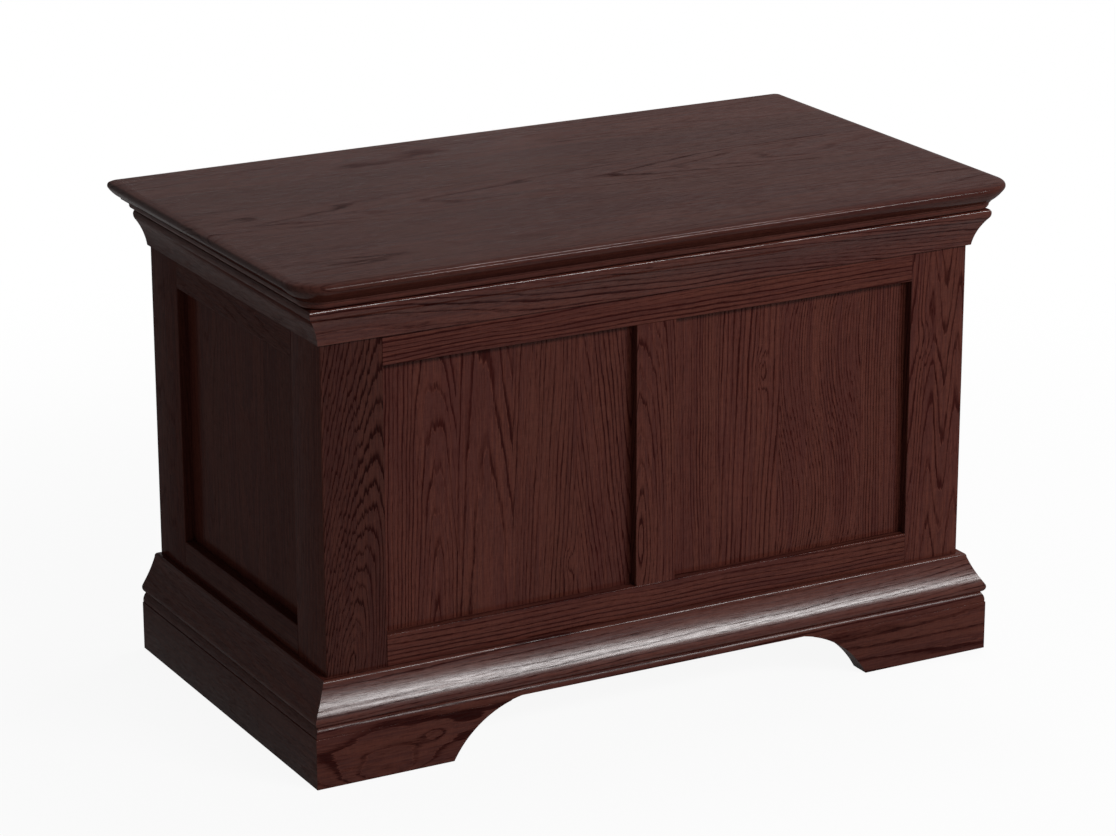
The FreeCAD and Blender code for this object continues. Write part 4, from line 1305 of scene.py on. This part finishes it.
@dataclass
class FramedWall(Assembly):
    """Stiles and rails round flat panels that stand back in their grooves."""

    stance: Stance
    muntin: bool = False
    height: float = 0.472
    thickness: float = 0.024
    stile_width: float = 0.073
    muntin_width: float = 0.050
    top_rail: float = 0.078
    bottom_rail: float = 0.0895
    recess: float = 0.012
    panel_thickness: float = 0.010
    groove: float = 0.006
    groove_depth: float = 0.009
    rebate: float = 0.012
    fit_play: float = 0.0002
    panel_play: float = 0.001
    arris: float = 0.0011
    seat_place: float = 0.270
    seat_width: float = 0.065
    seat_depth: float = 0.020
    seat_sink: float = 0.0016

    def build(self) -> None:
        """Make all pieces of the wall."""
        edge = self.stance.width / 2 - self.stile_width
        opening_top = self.height - self.top_rail
        self.make_stile(0)
        self.make_stile(1)
        self.make_rail("bottom_rail", 0.0, self.bottom_rail)
        self.make_rail("top_rail", self.height, opening_top)
        if self.muntin:
            half = self.muntin_width / 2
            self.make_muntin(opening_top)
            self.make_panel("left_panel", -edge, -half, opening_top)
            self.make_panel("right_panel", half, edge, opening_top)
        else:
            self.make_panel("panel", -edge, edge, opening_top)

    def dress(self, stock: Stock) -> None:
        """Varnish the wall, the front more than the others.

        Args:
            stock: what the pieces are finished with.
        """
        oak = STAINED_OAK if self.stance.name == "front" else THINLY_VARNISHED_OAK
        for node in self.pieces:
            self.varnish(node, oak, stock)

    def start(self, piece_name: str) -> Workpiece:
        """Start a piece of this wall."""
        return Workpiece(f"{self.stance.name}_{piece_name}")

    def place(self, piece: Workpiece) -> None:
        """Fit a piece into the wall."""
        self.pieces[piece.node] = piece.fit(self.stance.turn, self.stance.at).hand_over("case")

    def grooved_edge(self, inner: float, side: float) -> list[Point]:
        """Section of an upright's edge towards a panel, from the face to the back.

        Args:
            inner: where the edge stands along the wall.
            side: 1 if the panel lies beyond it, -1 if before it.

        Returns:
            The points of the section.
        """
        floor = inner - side * self.groove_depth
        back = self.recess + self.groove
        return [
            *round_corner((inner - side, 0.0), (inner, 0.0), (inner, 1.0), self.arris),
            (inner, self.recess),
            (floor, self.recess),
            (floor, back),
            (inner, back),
            (inner, self.thickness),
        ]

    def corner_edge(self, outer: float, joint: Joint) -> list[Point]:
        """Section of a stile's outer edge, from the back to the face.

        Args:
            outer: where the edge stands along the wall.
            joint: how it meets the next wall.

        Returns:
            The points of the section.
        """
        if joint is Joint.SQUARE:
            return [(outer, self.thickness), (outer, 0.0)]
        inside = (outer + self.thickness, self.thickness)
        if joint is Joint.MITRE:
            eased = (outer + self.arris * QUARTER_BOW, self.arris * QUARTER_BOW)
            return [inside, eased, *arc(eased, (outer + self.arris, 0.0), -self.arris * EIGHTH_BOW, steps=3)]
        step = self.thickness - self.rebate
        rounded = round_corner((outer, 1.0), (outer, 0.0), (0.0, 0.0), self.arris / 2)
        return [inside, (outer + self.thickness, step), (outer, step), *rounded]

    def make_stile(self, index: int) -> None:
        """Make the stile at one end of the wall.

        Args:
            index: 0 for the left end, 1 for the right.
        """
        outer = -self.stance.width / 2
        section = self.grooved_edge(outer + self.stile_width, 1.0)
        section += self.corner_edge(outer, self.stance.joints[index])
        side = -1.0 if index else 1.0
        piece = self.start(f"{self.stance.ends[index]}_stile")
        piece.draw([Vector((side * x, y, 0.0)) for x, y in section])
        piece.draw_out(Vector((0.0, 0.0, self.height))).face_out()
        self.place(piece)

    def make_rail(self, name: str, outer: float, inner: float) -> None:
        """Make a rail, with a groove along one edge and a tongue on each end.

        Args:
            name: the rail's name.
            outer: height of its plain edge.
            inner: height of its grooved edge.
        """
        side = math.copysign(1.0, inner - outer)
        section = [(y, z) for z, y in self.grooved_edge(inner, side)]
        section += [(self.thickness, outer), (0.0, outer)]
        shoulder = self.stance.width / 2 - self.stile_width
        piece = self.start(name)
        piece.draw([Vector((-shoulder, y, z)) for y, z in section])
        piece.draw_out(Vector((2 * shoulder, 0.0, 0.0))).face_out()
        self.add_tongues(piece, Vector((1.0, 0.0, 0.0)), inner - side * self.groove_depth)
        if piece.node == "back_top_rail":
            piece.lift_off()
            for at in (-self.seat_place, self.seat_place):
                piece.cut_with(self.hinge_seat(at))
        self.place(piece)

    def make_muntin(self, opening_top: float) -> None:
        """Make the upright between two panels.

        Args:
            opening_top: height of the top rail's lower edge.
        """
        right = self.grooved_edge(self.muntin_width / 2, 1.0)
        section = right + [(-x, y) for x, y in reversed(right)]
        piece = self.start("muntin")
        piece.draw([Vector((x, y, self.bottom_rail)) for x, y in section])
        piece.draw_out(Vector((0.0, 0.0, opening_top - self.bottom_rail))).face_out()
        self.add_tongues(piece, Vector((0.0, 0.0, 1.0)))
        self.place(piece)

    def add_tongues(self, piece: Workpiece, along: Vector, floor: float | None = None) -> None:
        """Draw a tongue out of each end of a rail or a muntin.

        Args:
            piece: the piece, on the bench, with plain ends.
            along: the way from one end to the other, of length 1.
            floor: height of the floor of its groove, where the tongues end, if it has one groove alone.
        """
        front = self.recess + self.fit_play
        back = self.recess + self.groove - self.fit_play
        for way in (-along, along):
            for depth in (front, back):
                piece.pick_facing(way).mark(Vector((0.0, depth, 0.0)), Vector((0.0, 1.0, 0.0)))
            if floor is not None:
                piece.pick_facing(way).mark(Vector((0.0, 0.0, floor)), Vector((0.0, 0.0, 1.0)))
            piece.pick_facing(way, front, back).draw_out(way * (self.groove_depth - self.fit_play))
        piece.face_out()

    def hinge_seat(self, at: float) -> Workpiece:
        """Shape the waste where a hinge leaf is let into the top of the back rail.

        Args:
            at: the middle of the leaf along the wall.

        Returns:
            The waste, off the bench.
        """
        half = self.seat_width / 2
        left, right, front, back = at - half, at + half, -half, self.seat_depth
        corners = ((left, front), (right, front), (right, back), (left, back))
        waste = Workpiece("seat_waste")
        waste.draw([Vector((x, y, self.height - self.seat_sink)) for x, y in corners])
        return waste.draw_out(Vector((0.0, 0.0, half))).face_out().lift_off()

    def make_panel(self, name: str, left: float, right: float, opening_top: float) -> None:
        """Make a flat panel with a tongue all round.

        Args:
            name: the panel's name.
            left: where its opening begins along the wall.
            right: where it ends.
            opening_top: height of the opening's upper edge.
        """
        face = self.recess + self.fit_play
        tongue_back = face + self.groove - 2 * self.fit_play
        play = self.panel_play
        low, high = self.bottom_rail + play, opening_top - play
        corners = ((left + play, low), (right - play, low), (right - play, high), (left + play, high))
        piece = self.start(name)
        piece.draw([Vector((x, face, z)) for x, z in corners])
        piece.draw_out(Vector((0.0, self.panel_thickness, 0.0))).face_out()
        bpy.ops.mesh.select_all(action="SELECT")
        piece.mark(Vector((0.0, tongue_back, 0.0)), Vector((0.0, 1.0, 0.0)))
        piece.pick_rim(tongue_back).draw_tongue(self.groove_depth).face_out()
        self.place(piece)


def stand_walls() -> dict[str, Stance]:
    """Find where the walls stand, from the stiles in the frame.

    Returns:
        The stance of each wall, by name.
    """
    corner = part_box("front_left_stile")[0]
    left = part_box("left_front_stile")[0].x
    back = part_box("back_left_stile")[1].y
    width, depth = -2 * left, back - corner.y
    middle = (corner.y + back) / 2
    front_at, back_at = Vector((0.0, corner.y, corner.z)), Vector((0.0, back, corner.z))
    left_at, right_at = Vector((left, middle, corner.z)), Vector((-left, middle, corner.z))
    back_width = width - 2 * (FramedWall.thickness - FramedWall.rebate)
    mitre, rebate, square = Joint.MITRE, Joint.REBATE, Joint.SQUARE
    stances = (
        Stance("front", width, front_at, 0.0, ("left", "right"), (mitre, mitre)),
        Stance("left", depth, left_at, -math.pi / 2, ("back", "front"), (rebate, mitre)),
        Stance("right", depth, right_at, math.pi / 2, ("front", "back"), (mitre, rebate)),
        Stance("back", back_width, back_at, math.pi, ("right", "left"), (square, square)),
    )
    return {stance.name: stance for stance in stances}


# Mouldings and plinth

@dataclass
class Run:
    """A moulded board along a wall, mitred at the front corners."""

    stance: Stance
    node: str
    bottom: float
    section: list[Point]

    def shape(self) -> Workpiece:
        """Draw the section, draw it out along the wall and saw its ends.

        Returns:
            The piece, on the bench.
        """
        deepest = -min(y for y, _ in self.section)
        half = self.stance.width / 2
        reach = half + 2 * deepest
        piece = Workpiece(self.node)
        piece.draw([Vector((-reach, y, z)) for y, z in self.section])
        piece.draw_out(Vector((2 * reach, 0.0, 0.0))).face_out()
        for end, joint in zip((-1.0, 1.0), self.stance.joints):
            lean = 1.0 if joint is Joint.MITRE else 0.0
            piece.saw(Vector((end * half, 0.0, 0.0)), Vector((end, lean, 0.0)))
        return piece.face_out()

    def fit(self, piece: Workpiece) -> bpy.types.Object:
        """Fit the board to its wall."""
        at = Vector((self.stance.at.x, self.stance.at.y, self.bottom))
        return piece.fit(self.stance.turn, at).hand_over("case")


@dataclass
class Mouldings(Assembly):
    """Cornice and base moulding round the front and the sides."""

    stances: Sequence[Stance]
    cornice_height: float = 0.044
    cornice_projection: float = 0.020
    cornice_foot: float = 0.004
    cornice_cove: float = 0.002
    cornice_bead: float = 0.0125
    cornice_step: float = 0.003
    bead_rise: float = 0.007
    bead_bow: float = 0.0007
    cornice_round: float = 0.0045
    base_height: float = 0.046
    base_projection: float = 0.0258
    base_foot: float = 0.022
    base_nose: float = 0.009
    base_nose_bow: float = 0.0018
    slope_top: float = 0.017
    slope_depth: float = 0.0209
    base_hollow: float = 0.0007
    base_cap: float = 0.004
    cap_depth: float = 0.0089
    cap_round: float = 0.0035

    def build(self) -> None:
        """Make the six boards."""
        for label, section in (("cornice", self.cornice_section()), ("base_moulding", self.base_section())):
            for stance in self.stances:
                node = f"{label}_{stance.name}"
                run = Run(stance, node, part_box(node)[0].z, section)
                self.pieces[node] = run.fit(run.shape())

    def dress(self, stock: Stock) -> None:
        """Varnish the boards, the front ones with more gloss.

        Args:
            stock: what the pieces are finished with.
        """
        front = {"cornice_front": CORNICE_OAK, "base_moulding_front": BASE_OAK}
        for node in self.pieces:
            self.varnish(node, front.get(node, TRIM_OAK), stock)

    def cornice_section(self) -> list[Point]:
        """Section of the cornice: a hollow below a bead that is rounded below and above.

        Returns:
            The points, as place in from the wall's face and height.
        """
        cove_top = self.cornice_height - self.cornice_bead
        face = -self.cornice_projection
        foot = (-self.cornice_foot, 0.0)
        hollow_end = (face + self.cornice_step, cove_top)
        bead_start = (face, cove_top + self.bead_rise)
        bead_end = (face, self.cornice_height - self.cornice_round)
        top = (face + self.cornice_round, self.cornice_height)
        return [
            (0.0, self.cornice_height),
            (0.0, 0.0),
            foot,
            *arc(foot, hollow_end, -self.cornice_cove, steps=14),
            *arc(hollow_end, bead_start, self.bead_bow, steps=6),
            bead_end,
            *arc(bead_end, top, self.cornice_round * QUARTER_BOW, steps=7),
        ]

    def base_section(self) -> list[Point]:
        """Section of the base moulding: a nose, a slope that turns into a hollow, and a plain band.

        Returns:
            The points, as place in from the wall's face and height.
        """
        foot = (-self.base_foot, 0.0)
        slope = (-self.slope_depth, self.slope_top)
        band = -self.cap_depth
        band_end = (band, self.base_height - self.cap_round)
        top = (band + self.cap_round, self.base_height)
        return [
            (0.0, self.base_height),
            (0.0, 0.0),
            foot,
            *arc(foot, (-self.base_projection, self.base_nose), self.base_nose_bow, steps=9),
            slope,
            *arc(slope, (band, self.base_height - self.base_cap), -self.base_hollow, steps=10),
            band_end,
            *arc(band_end, top, self.cap_round * QUARTER_BOW, steps=6),
        ]


@dataclass
class Plinth(Assembly):
    """Plinth boards with the bracket feet cut out of the front one."""

    stances: Sequence[Stance]
    height: float = 0.070
    thickness: float = 0.026
    rounding_height: float = 0.012
    rounding_depth: float = 0.004
    lip: float = 0.001
    rounding_bow: float = 0.0016
    foot_length: float = 0.1655
    arch_run: float = 0.085
    arch_rise: float = 0.061
    arch_bow: float = 0.012
    arris: float = 0.001

    def build(self) -> None:
        """Make the three moulded boards and keep the plain one at the back."""
        for stance in self.stances:
            run = Run(stance, f"plinth_{stance.name}", 0.0, self.section())
            piece = run.shape()
            if stance.name == "front":
                piece.lift_off().cut_with(self.arch(stance)).lay_back()
                self.ease_arch(piece)
            self.pieces[run.node] = run.fit(piece)
        self.keep("plinth_")

    def dress(self, stock: Stock) -> None:
        """Varnish the boards."""
        for node in self.pieces:
            self.varnish(node, FOOT_OAK if node == "plinth_front" else TRIM_OAK, stock)

    def section(self) -> list[Point]:
        """Section of a board: a rounding over a small lip along its upper edge.

        Returns:
            The points, as place in from the wall's face and height.
        """
        face = -self.thickness
        rounding = self.height - self.rounding_height
        lip = (face + self.lip, rounding)
        top = (face + self.lip + self.rounding_depth, self.height)
        return [
            (0.0, self.height),
            (0.0, 0.0),
            *round_corner((0.0, 0.0), (face, 0.0), (face, 1.0), self.arris / 2, steps=3),
            *round_corner((face, 0.0), (face, rounding), (0.0, rounding), self.lip / 2, steps=3),
            lip,
            *arc(lip, top, self.rounding_bow, steps=7),
        ]

    def arch(self, stance: Stance) -> Workpiece:
        """Shape the waste between the feet.

        Args:
            stance: the front wall's.

        Returns:
            The waste, off the bench.
        """
        foot = stance.width / 2 + self.thickness - self.foot_length
        crown = foot - self.arch_run
        deep = 2 * self.thickness
        outline = [
            (-foot, -deep),
            (foot, -deep),
            (foot, 0.0),
            *arc((foot, 0.0), (crown, self.arch_rise), -self.arch_bow, steps=18),
            (-crown, self.arch_rise),
            *arc((-crown, self.arch_rise), (-foot, 0.0), -self.arch_bow, steps=18),
        ]
        waste = Workpiece("arch_waste")
        waste.draw([Vector((x, -deep, z)) for x, z in outline])
        return waste.draw_out(Vector((0.0, 2 * deep, 0.0))).face_out().lift_off()

    def ease_arch(self, piece: Workpiece) -> None:
        """Round the front edge of the arch.

        Args:
            piece: the front board, on the bench.
        """

        def on_arch(edge: bmesh.types.BMEdge) -> bool:
            """Tell the arch's front edge from the others.

            Args:
                edge: an edge of the board.

            Returns:
                True where it joins the board's face to the arch.
            """
            in_face = all(abs(vertex.co.y + self.thickness) < TOUCHING for vertex in edge.verts)
            looks = sorted(abs(side.normal.y) for side in edge.link_faces)
            return in_face and len(looks) == 2 and looks[0] < EDGEWISE and looks[1] > FACING

        piece.pick_edges(on_arch).round_edges(self.arris).face_out()


# Lid, floor and fittings

@dataclass
class Lid(Assembly):
    """Lid board with a moulded edge round the front and the sides, and what is fixed under it."""

    corner_radius: float = 0.0425
    thickness: float = 0.0235
    top_run: float = 0.0115
    nose_set: float = 0.0024
    top_drop: float = 0.0015
    top_bow: float = 0.00028
    nose_drop: float = 0.0085
    nose_back: float = 0.001
    nose_bow: float = 0.00163
    under_run: float = 0.016
    lip: float = 0.0012
    under_bow: float = 0.0011

    def build(self) -> None:
        """Make the lid board, and keep its rim, battens, pads and screws."""
        self.make_top()
        self.keep("lid_")

    def dress(self, stock: Stock) -> None:
        """Varnish the wood and finish the pads and the screws.

        Args:
            stock: what the pieces are finished with.
        """
        fittings = {"lid_buffers": stock.felt, "lid_screws": stock.brass}
        for node in self.pieces:
            if node in fittings:
                self.finish(node, fittings[node])
            else:
                self.varnish(node, LID_OAK if node == "lid_top" else STAINED_OAK, stock)

    def edge_section(self) -> list[Point]:
        """Section of the moulded edge: a rounded underside, a nose and a slightly rounded top.

        Returns:
            The points from the bottom up, as distance inside the widest outline and height.
        """
        nose_end = (self.nose_back, self.thickness - self.nose_drop)
        nose_start = (self.nose_set, self.thickness - self.top_drop)
        top_end = (self.top_run, self.thickness)
        return [
            (self.under_run, 0.0),
            (self.under_run, self.lip),
            *arc((self.under_run, self.lip), nose_end, self.under_bow, steps=8),
            *arc(nose_end, nose_start, self.nose_bow, steps=12),
            *arc(nose_start, top_end, self.top_bow, steps=7),
        ]

    def make_top(self) -> None:
        """Make the lid board: draw its widest outline, then take it in step by step upwards and downwards."""
        low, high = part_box("lid_top")
        section = self.edge_section()
        widest = min(range(len(section)), key=lambda index: section[index][0])
        radius = self.corner_radius
        beyond = high.y + 2 * self.under_run
        bow = -radius * QUARTER_BOW
        outline = [
            (high.x, beyond),
            (low.x, beyond),
            (low.x, low.y + radius),
            *arc((low.x, low.y + radius), (low.x + radius, low.y), bow, steps=14),
            (high.x - radius, low.y),
            *arc((high.x - radius, low.y), (high.x, low.y + radius), bow, steps=14),
        ]
        start = section[widest][1]
        piece = Workpiece("lid_top")
        piece.draw([Vector((x, y, low.z + start)) for x, y in outline])
        piece.draw_out(Vector((0.0, 0.0, section[widest + 1][1] - start))).face_out()
        for up, steps in ((1.0, section[widest + 1:]), (-1.0, section[widest::-1])):
            piece.pick_facing(Vector((0.0, 0.0, up)))
            for before, after in zip(steps, steps[1:]):
                piece.take_in(after[0] - before[0], up * (after[1] - before[1]))
        piece.saw(Vector((0.0, high.y, 0.0)), Vector((0.0, 1.0, 0.0))).face_out()
        self.pieces["lid_top"] = piece.fit(0.0, Vector()).hand_over("lid")


@dataclass
class Floor(Assembly):
    """Floor board, its cleats and the blocks that stand in the corners of the plinth."""

    def build(self) -> None:
        """Keep the frame's pieces."""
        self.keep("floor_", "foot_block_")

    def dress(self, stock: Stock) -> None:
        """Leave the wood plain."""
        for node in self.pieces:
            self.varnish(node, PLAIN_OAK, stock)


@dataclass
class Fittings(Assembly):
    """Hinges, stay and the screws in the case."""

    def build(self) -> None:
        """Keep the frame's pieces."""
        self.keep("hinge_", "stay_", "case_screws")

    def dress(self, stock: Stock) -> None:
        """Finish them in brass."""
        for node in self.pieces:
            self.finish(node, stock.brass)


# Studio

@dataclass(frozen=True)
class Lamp:
    """A softbox."""

    name: str
    at: tuple[float, float, float]
    towards: tuple[float, float, float]
    width: float
    height: float
    watts: float

    def switch_on(self) -> None:
        """Hang the lamp."""
        light = bpy.data.lights.new(self.name, "AREA")
        light.shape = "RECTANGLE"
        light.size = self.width
        light.size_y = self.height
        light.energy = self.watts
        lamp = bpy.data.objects.new(self.name, light)
        lamp.location = self.at
        direction = Vector(self.towards) - Vector(self.at)
        lamp.rotation_euler = direction.to_track_quat("-Z", "Y").to_euler()
        bpy.context.scene.collection.objects.link(lamp)


@dataclass
class Studio:
    """Pale floor, soft lamps and the camera."""

    floor_radius: float = 9.0
    floor_sides: int = 96
    pale: Colour = (0.50, 0.50, 0.50)
    glow: float = 0.92
    shadow_fades: tuple[float, float] = (0.5, 1.8)
    world_level: float = 0.20
    camera_at: tuple[float, float, float] = (-2.010, -3.665, 1.646)
    azimuth: float = -28.66
    elevation: float = 18.04
    roll: float = -0.10
    lens: float = 122.6
    sensor: float = 36.0
    lamps: tuple[Lamp, ...] = (
        Lamp("front_softbox", (0.55, -4.1, 2.7), (0.0, 0.0, 0.3), 2.2, 1.6, 112.0),
        Lamp("long_softbox", (3.30, -5.15, 3.75), (0.0, -0.24, 0.1), 2.4, 0.6, 345.0),
        Lamp("overhead_strip", (1.15, 0.40, 2.60), (0.05, -0.25, 0.56), 1.3, 0.15, 46.0),
        Lamp("back_softbox", (1.3, 4.1, 0.7), (0.0, 0.0, 0.3), 1.6, 0.9, 75.0),
    )

    def build(self) -> None:
        """Set up everything round the chest."""
        self.lay_floor()
        for lamp in self.lamps:
            lamp.switch_on()
        self.light_world()
        self.aim_camera()

    def lay_floor(self) -> None:
        """Lay a round pale floor that keeps the chest's shadow near it and is white further out."""
        bpy.ops.object.select_all(action="DESELECT")
        bpy.ops.mesh.primitive_circle_add(
            vertices=self.floor_sides, radius=self.floor_radius, fill_type="NGON"
        )
        floor = bpy.context.object
        floor.name = "studio_floor"
        shader = Shader.of_material("studio_floor")
        across, away, _ = shader.axes(shader.place())
        distance = (across * across + away * away).root()
        paper = shader.node("ShaderNodeBsdfDiffuse", inputs={"Color": (*self.pale, 1.0)})
        glow = shader.node("ShaderNodeEmission", inputs={"Color": WHITE, "Strength": 1.0})
        near, far = self.shadow_fades
        share = shader.seen() * (distance.rise(near, far) * (1.0 - self.glow) + self.glow)
        mixed = shader.node(
            "ShaderNodeMixShader",
            inputs={"Fac": share, "Shader": paper.outputs[0], "Shader_001": glow.outputs[0]},
        )
        floor.data.materials.append(shader.close(mixed.outputs[0]))

    def light_world(self) -> None:
        """Fill the room with a plain dim light in front of a white background."""
        shader = Shader(bpy.data.worlds.new("studio"))
        light, white = (
            shader.node("ShaderNodeBackground", inputs={"Color": WHITE, "Strength": level})
            for level in (self.world_level, 1.0)
        )
        mixed = shader.node(
            "ShaderNodeMixShader",
            inputs={"Fac": shader.seen(), "Shader": light.outputs[0], "Shader_001": white.outputs[0]},
        )
        bpy.context.scene.world = shader.close(mixed.outputs[0])

    def aim_camera(self) -> None:
        """Set up the camera."""
        azimuth, elevation, roll = map(math.radians, (self.azimuth, self.elevation, self.roll))
        back = Vector((
            math.sin(azimuth) * math.cos(elevation),
            -math.cos(azimuth) * math.cos(elevation),
            math.sin(elevation),
        ))
        right = Vector((0.0, 0.0, 1.0)).cross(back).normalized()
        up = back.cross(right)
        rolled_right = math.cos(roll) * right + math.sin(roll) * up
        rolled_up = math.cos(roll) * up - math.sin(roll) * right
        lens = bpy.data.cameras.new("camera")
        lens.lens = self.lens
        lens.sensor_width = self.sensor
        camera = bpy.data.objects.new("camera", lens)
        camera.location = self.camera_at
        camera.rotation_euler = Matrix((rolled_right, rolled_up, back)).transposed().to_euler()
        bpy.context.scene.collection.objects.link(camera)
        bpy.context.scene.camera = camera
        bpy.context.scene.view_settings.view_transform = "Standard"


def main() -> None:
    """Build and dress the sub-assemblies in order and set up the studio."""
    logging.basicConfig(level=logging.INFO, format="%(message)s")
    stock = Stock.lay_in(frame["nodes"])
    stances = stand_walls()
    mitred = [stances[name] for name in ("front", "left", "right")]
    assemblies = [FramedWall(stance, muntin=name == "front") for name, stance in stances.items()]
    assemblies += [Mouldings(mitred), Plinth(mitred), Lid(), Floor(), Fittings()]
    for assembly in assemblies:
        assembly.build()
        assembly.dress(stock)
    Studio().build()


if __name__ == "__main__":
    main()
